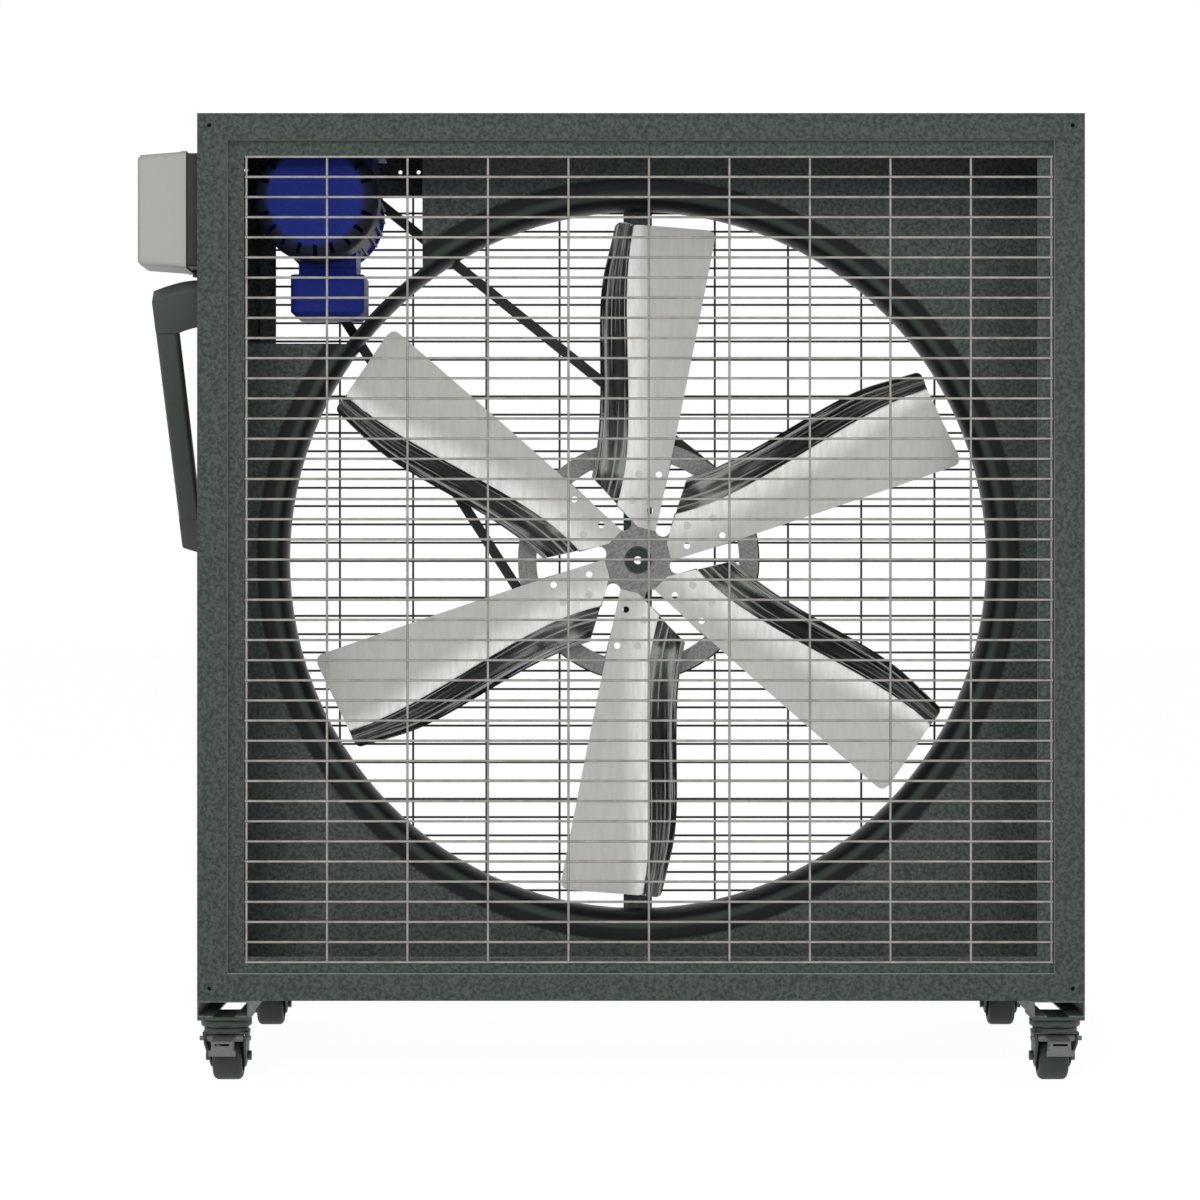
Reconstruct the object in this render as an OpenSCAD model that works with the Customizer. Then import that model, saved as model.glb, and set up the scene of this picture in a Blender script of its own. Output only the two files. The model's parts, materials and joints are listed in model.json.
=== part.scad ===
// Belt-driven axial fan in a square sheet-metal housing on four castors.
// Housing frame: X from the fan axis, Y back from the front face, Z up from the floor.
// The origin is the middle of the footprint of the whole fan, on the floor.

/* [Housing] */
// Width and height of the square housing
housing_w = 1100; // [1060:2:1160]
// Depth of the housing from front face to rear face
housing_d = 430; // [424:2:520]
// Thickness of the housing sheet
sheet = 2; // [1.5:0.5:3]
// Width of the flat outer flange of the frames at the sides
flange_w = 37; // [33:1:45]
// Width of the flat outer flange of the frames at the top and bottom
flange_h = 33; // [33:1:40]
// Depth of the recess that holds a grille
recess_d = 15; // [12:1:20]
// Width of the recess lips
lip_w = 20; // [16:1:26]
// Width of the folded returns of the four panels
return_w = 26; // [20:1:26]
// Diameter of the flange corner holes
corner_hole_d = 5.5; // [4:0.5:8]
// Distance of the corner holes from the outer edges
corner_inset = 15; // [12:1:20]
// Diameter of the rivets in the recess lips
rivet_d = 3; // [2.5:0.5:4]
// Distance of the front rivets from the outer edges of the housing
rivet_inset = 43; // [42:0.5:43.5]
// Distance of the rear rivets from the outer edges of the housing
rear_rivet_inset = 40.3; // [39.5:0.1:40.5]

/* [Grilles] */
// Diameter of the grille wires
wire_d = 3; // [2:0.5:4]
// Number of level wires in each grille
level_wires = 41; // [31:1:45]
// Number of columns in the front grille
front_columns = 10; // [6:1:12]
// Number of columns in each half of the rear grille
rear_columns = 5; // [3:1:6]
// Room beside the front grille in its recess, on each side
grille_side = 13; // [12:1:16]
// Room above and below each grille in its recess
grille_head = 17; // [12:1:18]
// Room outside each half of the rear grille
rear_grille_side = 7; // [4:1:14]
// Sideways offset of the front grille in its recess
grille_shift_x = 10; // [0:1:10]
// Drop of the front grille in its recess
grille_drop = 3; // [0:1:6]
// Gap between the two halves of the rear grille
rear_grille_gap = 9; // [4:1:20]

/* [Venturi] */
// Distance of the venturi panel behind the front face
venturi_y = 264; // [240:1:300]
// Radius of the throat
throat_r = 464; // [460:1:470]
// Radius of the rounded inlet
bell_round = 37; // [25:1:45]
// Length of the straight throat behind the rounding
throat_l = 11; // [6:1:20]
// Width and height of the corner notch for the motor
notch_size = 265; // [255:1:285]
// Width of the ring strip that crosses the notch
notch_strip = 16; // [10:1:30]
// Depth of the folded rim of the venturi panel
venturi_fold = 20; // [12:1:30]

/* [Propeller] */
// Radius of the blade tips
tip_r = 452; // [430:1:456]
// Thickness of the blade sheet
blade_t = 1.5; // [1:0.1:2.5]
// Clockwise angle of the first blade from the top
blade_angle = 13.7; // [0:0.1:60]
// Number of blades
blade_count = 6; // [6:1:6]
// Height of the trailing curl at the blade root
curl_root = 42; // [25:1:48]
// Height of the trailing curl at the blade tip
curl_tip = 34; // [20:1:40]
// Pitch of the flat part at the blade tip, in degrees
tip_pitch = 7; // [0:1:9]
// Diameter of the two open holes in each blade root
blade_hole_d = 8.6; // [6:0.2:10]
// Radius of the inner open hole
blade_hole_in = 68; // [62:1:74]
// Radius of the outer open hole
blade_hole_out = 117.5; // [105:0.5:122]

/* [Fan pulley] */
// Distance of the blade seats behind the front face
seat_y = 316; // [314:1:319]
// Thickness of the spider arms
arm_t = 6; // [4:1:10]
// Outer radius of the fan pulley
fan_pulley_r = 160.5; // [150:0.5:170]
// Radial thickness of the pulley rim
rim_t = 24.5; // [20:0.5:30]
// Width of both pulleys
pulley_w = 24; // [22:1:27]
// Width of the slots between the arms
slot_w = 20; // [14:1:24]
// Radius of the round inner end of each slot
slot_in_r = 38; // [36:1:46]
// Outer radius of the hub boss
boss_r = 26; // [24:1:30]

/* [Bearings] */
// Bore of the hub bearings
bearing_bore = 20; // [15:1:25]
// Outer diameter of the hub bearings
bearing_od = 37; // [32:1:42]
// Width of one hub bearing
bearing_w = 9; // [7:1:12]
// Diameter of the hole along the axle
axle_hole_d = 11; // [6:1:12]
// Radial running clearance of shafts and pins
run_gap = 0.05; // [0.02:0.01:0.1]

/* [Support bar] */
// Width of the upright support bar
bar_w = 38; // [36:1:50]
// Depth of the support bar
bar_d = 40; // [30:1:45]
// Wall of the support bar
bar_t = 3; // [2:0.5:4]

/* [Drive] */
// Distance of the motor axis from the left side of the housing
motor_inset = 140; // [136:1:150]
// Distance of the motor axis below the top of the housing
motor_drop = 95; // [94:1:104]
// Outer radius of the motor pulley
motor_pulley_r = 62; // [50:1:70]
// Top width of the V-belt
belt_w = 17; // [13:1:18]
// Thickness of the V-belt
belt_t = 13; // [8:1:14]
// Included angle of the belt flanks, in degrees
belt_angle = 36; // [30:1:40]
// How far the belt stands proud of the pulleys
belt_proud = 2; // [0:0.5:3]
// Clearance between the belt and the groove flanks
belt_gap = 0.35; // [0.2:0.05:1]

/* [Motor] */
// Radius of the motor cowl
cowl_r = 79; // [74:1:80]
// Rounding of the cowl's shoulder
cowl_round = 20; // [10:1:24]
// Length of the motor from cowl face to drive face
motor_l = 232; // [220:1:236]
// Length of the cowl
cowl_l = 62; // [50:1:80]
// Height of the motor axis over its feet
motor_foot_h = 80; // [79:1:82]
// Diameter of the motor shaft
shaft_d = 19; // [14:1:24]
// Length of the free shaft end
shaft_l = 40; // [38:1:44]
// Number of cooling fins
fin_count = 28; // [16:2:36]
// Width of the terminal box
terminal_w = 95; // [80:1:110]
// Height of the terminal box with its lid
terminal_h = 54; // [40:1:60]
// Length of the terminal box along the motor
terminal_l = 96; // [80:1:110]
// Sideways offset of the terminal box from the motor axis
terminal_x = 8; // [0:1:8]

/* [Connection box] */
// How far the connection box stands out from the wall
box_reach = 78; // [66:1:90]
// Height of the connection box
box_h = 147; // [120:1:170]
// Width of the connection box from front to back
box_l = 95; // [80:1:110]
// Depth of the fixed base of the connection box
box_base_d = 18; // [17:1:24]
// Wall of the connection box
box_t = 2.5; // [2:0.5:3]
// Height of the box centre above the fan axis
box_z = 434; // [400:1:440]
// Distance of the box behind the front face
box_y = 25; // [10:1:40]
// Bore of the cable gland
gland_bore_d = 8; // [6:1:9]

/* [Handle] */
// Overall length of the handle at its grip side
handle_l = 430; // [380:5:450]
// How far the handle stands out from the wall
handle_reach = 62; // [50:1:64]
// Width of the grip seen from the front
grip_w = 28; // [22:1:30]
// Thickness of the grip
grip_t = 22; // [18:1:26]
// Length of each handle foot along the grip
foot_l = 54; // [45:1:70]
// How far the feet splay at the wall
foot_splay = 18; // [8:1:24]
// Height of the upper end of the handle above the fan axis
handle_z = 320; // [300:1:330]
// Distance of the upper end of the handle behind the front face
handle_y = 40; // [36:1:60]

/* [Base] */
// Height of the base rails
rail_h = 20.5; // [18:0.5:30]
// Width of the base rails
rail_w = 64; // [60:1:80]
// Length of the base rails
rail_l = 619; // [560:1:660]
// Width of the outer bottom lip of a rail
rail_lip_out = 20; // [10:1:22]
// Width of the inner bottom lip of a rail
rail_lip_in = 17; // [10:1:22]

/* [Castors] */
// Height from the floor to the castor plate
castor_h = 82; // [82:1:90]
// Thickness of the castor plate
plate_t = 4; // [3:0.5:6]
// Length of the castor plate
plate_l = 82; // [76:1:90]
// Radius of the castor wheels
wheel_r = 30; // [28:0.5:30]
// Width of the castor wheels
wheel_w = 37; // [30:1:37]
// Distance of the wheel axle behind the swivel axis
trail = 26; // [22:1:30]
// Radius of the swivel race
race_r = 31.7; // [30:0.1:32]
// Thickness of the fork
fork_t = 3; // [2:0.5:3.5]
// Half width of the fork at its crown
fork_top = 28; // [26:0.5:31]
// Radius of the fork's ends round the axle
fork_end_r = 14; // [11:0.5:16]
// Radius of the castor axle
axle_r = 4; // [3:0.5:5]
// How far the brake pedal reaches ahead of the swivel axis
pedal_reach = 53; // [48:1:58]
// Width of the brake pedal's lip
pedal_w = 33.5; // [28:0.5:36]
// Width of the brake pedal's arm
pedal_arm_w = 26.4; // [20:0.2:30]
// Height of the brake pedal's front from top to bottom
pedal_h = 18; // [15:1:22]
// How far the brake pedal turns until its shoe meets the wheel, in degrees
pedal_travel = 11; // [6:1:14]

/* [Hidden] */
$fn = 96;
over = 1;
frame_paint = [0.275, 0.306, 0.282];
sheet_bright = [0.70, 0.70, 0.69];
cast_grey = [0.45, 0.45, 0.443];
wire_pale = [0.69, 0.667, 0.647];
wire_dark = [0.275, 0.282, 0.275];
black_part = [0.16, 0.175, 0.165];
motor_blue = [0.15, 0.19, 0.46];
box_grey = [0.686, 0.686, 0.675];
steel = [0.55, 0.56, 0.55];
pedal_grey = [0.47, 0.47, 0.463];

half = housing_w / 2;
fan_z = castor_h + plate_t + rail_h + half;
front_castor_y = plate_l / 2;
rear_castor_y = rail_l - plate_l / 2;
castor_x = half - rail_w / 2;
left_reach = half + max(box_reach, handle_reach);
front_reach = max(0, pedal_reach - front_castor_y);
rear_reach = max(rail_l, rear_castor_y + trail + wheel_r);
fan_x = (left_reach - half) / 2;
front_y = (front_reach - rear_reach) / 2;

inner = half - sheet;
motor_x = half - motor_inset;
motor_z = half - motor_drop;
notch_edge = half - notch_size;
recess_x = half - flange_w;
recess_z = half - flange_h;
mid_belt_y = seat_y + 2 + pulley_w / 2;
bell_r = throat_r + bell_round;
bell_border = 8;
throat_end = venturi_y + bell_round + throat_l;
bar_y = mid_belt_y + pulley_w / 2 + 6;
belt_taper = tan(belt_angle / 2);
fan_belt_r = fan_pulley_r + belt_proud;
motor_belt_r = motor_pulley_r + belt_proud;
pulley_y = mid_belt_y - pulley_w / 2;
motor_drive_y = mid_belt_y + pulley_w / 2 - shaft_l;
cowl_y = motor_drive_y - motor_l;
shaft_front = cowl_y + 22;
frame_r = cowl_r - 4;
frame_end = motor_drive_y - 10;
motor_tube_r = frame_r - 6;
cowl_wall = 1.7;
motor_wall = 12;
motor_foot_x = 62.5;
motor_foot_y = [frame_end - 130, frame_end - 30];
motor_bolt_r = 5;
wheel_half = wheel_w / 2;
race_z = castor_h - 11;
race_gap = 0.3;
crown_top = race_z - 6;
fork_foot = wheel_half + 0.5 + fork_t;
fork_foot_z = wheel_r - fork_end_r;
fork_lean = atan((fork_top - fork_foot) / (crown_top - fork_foot_z));
fork_leg_l = (crown_top - fork_foot_z) / cos(fork_lean);
pedal_pivot_y = -14;
pedal_barrel_r = 4.5;
pedal_pivot_z = crown_top - fork_t - pedal_barrel_r - 0.5;
pedal_pin_r = 3;
box_lip = 6.5;
cable_hole_r = 10;
gland_r = 6.5;
gland_l = 8;
gland_x = gland_r + 3;
// Clear behind the handle's upper foot, so that a cable hangs straight down.
gland_y = min(round(handle_y + (foot_l + grip_t / 2) * cos(45)), box_y + box_l - gland_r - 6);
gland_neck_r = gland_bore_d / 2 + 1.5;
lip_rivet_far = half - 70;
lip_rivet_near = 80;

// Moves a shape from the housing frame, with Z from the floor, to the part's frame.
module in_housing() {
  translate([fan_x, front_y, 0]) children();
}

// The same with Z counted from the fan axis.
module in_fan() {
  translate([fan_x, front_y, fan_z]) children();
}

// Extrudes a flat outline drawn in X and Z from y0 to y1.
module xz_plate(y0, y1) {
  translate([0, y1, 0]) rotate([90, 0, 0]) linear_extrude(y1 - y0) children();
}

// Turns a profile of radius and distance about the Y axis.
module y_turn() {
  rotate([-90, 0, 0]) rotate_extrude() children();
}

module y_rod(r, y0, y1) {
  translate([0, y0, 0]) rotate([-90, 0, 0]) cylinder(r = r, h = y1 - y0);
}

module x_rod(r, x0, x1) {
  translate([x0, 0, 0]) rotate([0, 90, 0]) cylinder(r = r, h = x1 - x0);
}

module square_ring(out_x, out_z, in_x, in_z) {
  difference() {
    square([2 * out_x, 2 * out_z], center = true);
    square([2 * in_x, 2 * in_z], center = true);
  }
}

// A rectangle with round corners, centred.
module soft_rect(w, h, r) {
  square([w - 2 * r, h], center = true);
  square([w, h - 2 * r], center = true);
  for (sx = [-1, 1]) {
    for (sz = [-1, 1]) {
      translate([sx * (w / 2 - r), sz * (h / 2 - r)]) circle(r = r, $fn = 32);
    }
  }
}

module corner_holes(y0, y1) {
  for (sx = [-1, 1]) {
    for (sz = [-1, 1]) {
      translate([sx * (half - corner_inset), 0, sz * (half - corner_inset)])
        y_rod(corner_hole_d / 2, y0, y1);
    }
  }
}

// Two small holes in the top of the rear flange, beside the motor.
module cable_tie_holes(y0, y1) {
  from_side = 226;
  spacing = 25;
  drop = 18;
  for (x = [from_side, from_side + spacing]) {
    translate([x - half, 0, half - drop]) y_rod(corner_hole_d / 2, y0, y1);
  }
}

// The top or bottom panel, a sheet folded inwards along its front and rear edges.
module level_panel() {
  difference() {
    union() {
      translate([-half, sheet, half - sheet]) cube([housing_w, housing_d - 2 * sheet, sheet]);
      for (y = [sheet, housing_d - 2 * sheet]) {
        translate([-inner, y, half - sheet - return_w]) cube([2 * inner, sheet, return_w + sheet]);
      }
    }
    corner_holes(-over, housing_d + over);
  }
}

module top_panel() {
  color(frame_paint) in_fan() difference() {
    level_panel();
    cable_tie_holes(housing_d / 2, housing_d + over);
  }
}

module bottom_panel() {
  color(frame_paint) in_fan() mirror([0, 0, 1]) level_panel();
}

// The right panel stands between the top and bottom panels.
module side_panel() {
  return_half = inner - return_w;
  translate([inner, sheet, -inner]) cube([sheet, housing_d - 2 * sheet, 2 * inner]);
  for (y = [sheet, housing_d - 2 * sheet]) {
    translate([inner - return_w, y, -return_half]) cube([return_w + sheet, sheet, 2 * return_half]);
  }
}

module right_panel() {
  color(frame_paint) in_fan() side_panel();
}

// The left panel has the cable hole into the connection box.
module left_panel() {
  color(frame_paint) in_fan() difference() {
    mirror([1, 0, 0]) side_panel();
    translate([0, box_y + box_l / 2, box_z]) x_rod(cable_hole_r, -half - over, -inner + over);
  }
}

// A welded frame of flange, step and lip, seen from its outer face at y = 0.
module recessed_frame(inset) {
  difference() {
    union() {
      xz_plate(0, sheet) square_ring(half, half, recess_x, recess_z);
      xz_plate(0, recess_d) square_ring(recess_x + sheet, recess_z + sheet, recess_x, recess_z);
      xz_plate(recess_d - sheet, recess_d)
        square_ring(recess_x + sheet, recess_z + sheet, recess_x - lip_w, recess_z - lip_w);
    }
    corner_holes(-over, sheet + over);
    lip_rivet_places(inset) y_rod(rivet_d / 2, 0, recess_d + over);
  }
}

// Four rivets along each side of a recess, in the middle of its lip.
module lip_rivet_places(inset) {
  lip_mid = half - inset;
  for (turn = [0, 90, 180, 270]) {
    rotate([0, turn, 0]) for (x = [-lip_rivet_far, -lip_rivet_near, lip_rivet_near, lip_rivet_far]) {
      translate([x, 0, lip_mid]) children();
    }
  }
}

module front_frame() {
  color(frame_paint) in_fan() recessed_frame(rivet_inset);
}

module rear_frame() {
  color(frame_paint) in_fan() difference() {
    translate([0, housing_d, 0]) mirror([0, 1, 0]) recessed_frame(rear_rivet_inset);
    cable_tie_holes(housing_d / 2, housing_d + over);
  }
}

module frame_rivets() {
  head = 0.7;
  color(black_part) in_fan() {
    lip_rivet_places(rivet_inset) y_rod(rivet_d / 2, recess_d - sheet - head, recess_d);
    translate([0, housing_d, 0]) mirror([0, 1, 0])
      lip_rivet_places(rear_rivet_inset) y_rod(rivet_d / 2, recess_d - sheet - head, recess_d);
  }
}

// A welded mesh of that width whose level wires lie at y0 and whose upright wires lie at y1.
module wire_mesh(columns, wide, y0, y1) {
  high = 2 * (recess_z - grille_head);
  for (i = [0 : columns]) {
    translate([wide * (i / columns - 1 / 2), y1, -high / 2 - wire_d / 2])
      cylinder(d = wire_d, h = high + wire_d, $fn = 16);
  }
  for (i = [0 : level_wires - 1]) {
    translate([0, y0, high * (i / (level_wires - 1) - 1 / 2)]) rotate([0, 90, 0])
      cylinder(d = wire_d, h = wide + wire_d, center = true, $fn = 16);
  }
}

// Level and upright wires are pressed into each other a little where they are welded.
weld_sink = 0.3;

module front_grille() {
  upright_y = recess_d - sheet - wire_d / 2;
  color(wire_pale) in_fan() translate([grille_shift_x, 0, -grille_drop])
    wire_mesh(front_columns, 2 * (recess_x - grille_side), upright_y - wire_d + weld_sink, upright_y);
}

module rear_grille(side) {
  upright_y = housing_d - recess_d + sheet + wire_d / 2;
  near = (rear_grille_gap + wire_d) / 2;
  far = recess_x - rear_grille_side;
  color(wire_dark) in_fan() translate([side * (near + far) / 2, 0, 0])
    wire_mesh(rear_columns, far - near, upright_y + wire_d - weld_sink, upright_y);
}

// The cut that frees the corner for the motor but leaves the ring whole.
module motor_notch() {
  difference() {
    translate([-half - over, venturi_y - over, notch_edge])
      cube([half + over - notch_edge, housing_d, half]);
    y_rod(throat_r + notch_strip, venturi_y - 2 * over, housing_d * 2);
  }
}

// Section of the ring: a flat border, a quarter round and a straight throat.
module ring_section() {
  translate([bell_r, venturi_y]) square([bell_border, sheet]);
  translate([bell_r, venturi_y + bell_round]) difference() {
    circle(r = bell_round);
    circle(r = bell_round - sheet);
    translate([0, -2 * bell_round]) square(4 * bell_round);
    translate([-2 * bell_round, 0]) square(4 * bell_round);
  }
  translate([throat_r, venturi_y + bell_round]) square([sheet, throat_l]);
}

module venturi_panel() {
  color(frame_paint) in_fan() difference() {
    union() {
      xz_plate(venturi_y, venturi_y + sheet) difference() {
        square(2 * inner, center = true);
        circle(r = bell_r + bell_border, $fn = 180);
      }
      xz_plate(venturi_y, venturi_y + venturi_fold)
        square_ring(inner, inner, inner - sheet, inner - sheet);
      rotate([-90, 0, 0]) rotate_extrude($fn = 180) ring_section();
    }
    motor_notch();
  }
}

// Upright channel, open to the rear, with a foot plate at each end.
module support_bar() {
  foot_l = 31;
  foot_w = bar_w + 2 * foot_l;
  foot_hole_x = bar_w / 2 + foot_l - 12;
  foot_hole_r = 4.5;
  color(frame_paint) in_fan() difference() {
    union() {
      difference() {
        translate([-bar_w / 2, bar_y, -inner]) cube([bar_w, bar_d, 2 * inner]);
        translate([bar_t - bar_w / 2, bar_y + bar_t, -inner - over])
          cube([bar_w - 2 * bar_t, bar_d, 2 * inner + 2 * over]);
      }
      for (z = [-inner, inner - bar_t]) {
        translate([-foot_w / 2, bar_y, z]) cube([foot_w, bar_d, bar_t]);
      }
    }
    y_rod(bearing_bore / 2, bar_y - over, bar_y + bar_t + over);
    for (x = [-foot_hole_x, foot_hole_x]) {
      for (z = [-inner, inner - bar_t]) {
        translate([x, bar_y + bar_d / 2, z - over]) cylinder(r = foot_hole_r, h = bar_t + 2 * over);
      }
    }
  }
}

bearing_front_y = seat_y + 3;
bearing_rear_y = mid_belt_y + pulley_w / 2 - bearing_w;
axle_front_y = bearing_front_y - 0.5;
nut_w = bar_w - 2 * bar_t - 2;
nut_l = 10;

// Hollow stub axle with a shoulder against the bar and a threaded end behind it.
module fan_axle() {
  shoulder_y = bearing_rear_y + bearing_w + 0.3;
  color(steel) in_fan() difference() {
    union() {
      y_rod(bearing_bore / 2 - run_gap, axle_front_y, bar_y + bar_t + nut_l + 4);
      y_rod(bearing_bore / 2 + 4, shoulder_y, bar_y);
    }
    y_rod(axle_hole_d / 2, axle_front_y - over, bar_y + bar_t + nut_l + 6);
  }
}

module axle_nut() {
  color(steel) in_fan() difference() {
    translate([0, bar_y + bar_t, 0]) rotate([-90, 0, 0]) rotate([0, 0, 30])
      cylinder(d = nut_w / cos(30), h = nut_l, $fn = 6);
    y_rod(bearing_bore / 2 - run_gap, bar_y, bar_y + bar_t + nut_l + over);
  }
}

module axle_washer() {
  washer_r = 15.5;
  washer_t = 2.5;
  color(black_part) in_fan() difference() {
    y_rod(washer_r, axle_front_y - washer_t, axle_front_y);
    y_rod(axle_hole_d / 2, axle_front_y - washer_t - over, axle_front_y + over);
  }
}

// One bearing in section, with a shallow shield recess on both faces.
module bearing_section() {
  in_r = bearing_bore / 2;
  out_r = bearing_od / 2;
  land = 2.5;
  dip = 0.6;
  difference() {
    translate([in_r, 0]) square([out_r - in_r, bearing_w]);
    translate([in_r + land, -over]) square([out_r - in_r - 2 * land, over + dip]);
    translate([in_r + land, bearing_w - dip]) square([out_r - in_r - 2 * land, over + dip]);
  }
}

module hub_bearings() {
  color(steel) in_fan() for (y = [bearing_front_y, bearing_rear_y]) {
    translate([0, y, 0]) y_turn() bearing_section();
  }
}

// Groove for the belt in the rim of a pulley whose belt runs at radius belt_r.
module groove_section(belt_r, rim_r) {
  top = belt_w / 2 + belt_gap;
  deep = belt_t + 0.6;
  foot = top - deep * belt_taper;
  lift = rim_r + over - belt_r;
  polygon([
    [belt_r - deep, mid_belt_y - foot],
    [belt_r + lift, mid_belt_y - top - lift * belt_taper],
    [belt_r + lift, mid_belt_y + top + lift * belt_taper],
    [belt_r - deep, mid_belt_y + foot]
  ]);
}

// Fan turned so that the blade of number n points along +X with its curl side up.
module at_blade(n) {
  rotate([0, blade_angle - 90 + (n - 1) * 360 / blade_count, 0]) children();
}

arm_low = -12.5;
arm_high = 46;

// One slot, parallel to the straight edge of the blade beside it.
module spider_slot() {
  slot_mid = arm_low - slot_w / 2;
  start = slot_in_r + slot_w / 2;
  slot_end = fan_pulley_r - rim_t - 3;
  translate([start, slot_mid]) circle(d = slot_w, $fn = 48);
  translate([start, slot_mid - slot_w / 2]) square([slot_end - start, slot_w]);
}

module spider_outline() {
  core_r = 60;
  difference() {
    union() {
      circle(r = core_r);
      for (n = [1 : blade_count]) {
        rotate(-blade_angle + 90 - (n - 1) * 360 / blade_count)
          translate([30, arm_low]) square([fan_pulley_r - rim_t - 28, arm_high - arm_low]);
      }
    }
    for (n = [1 : blade_count]) {
      rotate(-blade_angle + 90 - (n - 1) * 360 / blade_count) spider_slot();
    }
  }
}

// Positions of the open holes and the rivets, drawn at one blade.
module blade_hole_places() {
  for (r = [blade_hole_in, blade_hole_out]) {
    translate([r, 0, 0]) children();
  }
}

module blade_rivet_places() {
  across = 26;
  for (r = [blade_hole_in + 8, blade_hole_out - 6]) {
    translate([r, 0, across]) children();
  }
}

rivet_r = 3;

// Cast pulley: grooved rim, six arms and a boss for two bearings.
module fan_pulley() {
  rear_y = mid_belt_y + pulley_w / 2;
  out_r = bearing_od / 2;
  bearing_step = 2;
  rib_low = 9;
  rib_h = 9.5;
  rib_t = 5;
  color(cast_grey) in_fan() difference() {
    union() {
      y_turn() difference() {
        translate([fan_pulley_r - rim_t, pulley_y]) square([rim_t, pulley_w]);
        groove_section(fan_belt_r, fan_pulley_r);
      }
      xz_plate(seat_y, seat_y + arm_t) intersection() {
        spider_outline();
        circle(r = fan_pulley_r - rim_t + 1);
      }
      y_rod(boss_r, seat_y, rear_y);
      for (n = [1 : blade_count]) {
        at_blade(n) translate([0, seat_y + arm_t - over, rib_low])
          cube([fan_pulley_r - rim_t + over, rib_h + over, rib_t]);
      }
    }
    y_rod(out_r, seat_y - over, bearing_front_y + bearing_w);
    y_rod(out_r, bearing_rear_y, rear_y + over);
    y_rod(out_r - bearing_step, seat_y - over, rear_y + over);
    for (n = [1 : blade_count]) {
      at_blade(n) {
        blade_hole_places() y_rod(blade_hole_d / 2, seat_y - over, seat_y + arm_t + over);
        blade_rivet_places() y_rod(rivet_r, seat_y - over, seat_y + arm_t + over);
      }
    }
  }
}

// Outline and form of one blade. u runs from root to tip and v from the straight
// edge to the curled edge. Values at the root and tip are real distances.
root_r = 43;
root_cut = 36;
root_cut_slope = 0.65;
tip_slope = 0.176;
edge_root = -13.5;
edge_tip = 2.5;
crease_root = 44;
crease_tip = 112;
outer_root = 86;
outer_tip = 134;
tip_corner = 12;

function soft(t) = t <= 0 ? 0 : (t >= 1 ? 1 : t * t * (3 - 2 * t));
function edge_s(u) = edge_root + (edge_tip - edge_root) * pow(u, 1.3);
function crease_s(u) = crease_root + (crease_tip - crease_root) * soft(pow(max(0, (u - 0.08) / 0.95), 0.85));
function outer_s(u) = outer_root + (outer_tip - outer_root) * soft(u / 0.8);
function station_r(u, s) = (1 - u) * max(root_r, root_cut + root_cut_slope * s) + u * (tip_r - tip_slope * s);
function corner_cut(u) = let (d = (1 - u) * (tip_r - root_r))
  d >= tip_corner ? 0 : tip_corner - sqrt(pow(tip_corner, 2) - pow(tip_corner - d, 2));
function curl_h(u) = curl_root + (curl_tip - curl_root) * u * u;
function curl_form(w) = 0.7 * w + 0.15 * (1 - cos(180 * w));
function rise(u, s) = tan(tip_pitch * soft((u - 0.22) / 0.78)) * (s - edge_s(u))
  + (s <= crease_s(u) ? 0 : curl_h(u) * curl_form((s - crease_s(u)) / (outer_s(u) - crease_s(u))));
function rise_slope(u, s) = (rise(u, s + 0.5) - rise(u, s - 0.5));

stations = [0, 0.05, 0.11, 0.17, 0.25, 0.34, 0.43, 0.52, 0.61, 0.7, 0.79, 0.88, 0.955, 0.972, 0.988, 0.997, 1];
flat_steps = 4;
curl_steps = 6;
chord_steps = flat_steps + curl_steps;

// Distance along the chord of point j at station u.
function chord_s(u, j) =
  let (low = edge_s(u) + corner_cut(u), high = outer_s(u) - corner_cut(u), mid = min(crease_s(u), high - 1))
  j <= flat_steps ? low + (mid - low) * j / flat_steps
  : mid + (high - mid) * (j - flat_steps) / curl_steps;

// A surface point on the back (side = 0) or the front (side = 1) of the sheet.
function blade_point(u, j, side) =
  let (s = chord_s(u, j), g = rise_slope(u, s), n = sqrt(1 + g * g))
  [station_r(u, s), -rise(u, s) - side * blade_t / n, s - side * blade_t * g / n];

function blade_points() = [
  for (side = [0, 1]) for (u = stations) for (j = [0 : chord_steps]) blade_point(u, j, side)
];

function blade_faces() =
  let (row = chord_steps + 1, last = len(stations) - 1, other = row * len(stations))
  concat(
    [for (i = [0 : last - 1]) for (j = [0 : chord_steps - 1])
      each [[i * row + j, i * row + j + 1, (i + 1) * row + j + 1],
        [i * row + j, (i + 1) * row + j + 1, (i + 1) * row + j]]],
    [for (i = [0 : last - 1]) for (j = [0 : chord_steps - 1])
      each [[other + i * row + j, other + (i + 1) * row + j + 1, other + i * row + j + 1],
        [other + i * row + j, other + (i + 1) * row + j, other + (i + 1) * row + j + 1]]],
    [for (i = [0 : last - 1]) each [[i * row, (i + 1) * row, other + (i + 1) * row],
        [i * row, other + (i + 1) * row, other + i * row]]],
    [for (i = [0 : last - 1]) let (a = i * row + chord_steps, b = a + row)
      each [[a, other + b, b], [a, other + a, other + b]]],
    [for (j = [0 : chord_steps - 1]) each [[j, other + j + 1, j + 1], [j, other + j, other + j + 1]]],
    [for (j = [0 : chord_steps - 1]) let (a = last * row + j)
      each [[a, a + 1, other + a + 1], [a, other + a + 1, other + a]]]
  );

// One pressed sheet blade, flat on its arm and curled forwards along its trailing side.
module blade(n) {
  color(sheet_bright) in_fan() at_blade(n) difference() {
    translate([0, seat_y, 0]) polyhedron(points = blade_points(), faces = blade_faces());
    blade_hole_places() y_rod(blade_hole_d / 2, seat_y - 10, seat_y + over);
    blade_rivet_places() y_rod(rivet_r, seat_y - 10, seat_y + over);
  }
}

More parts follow.
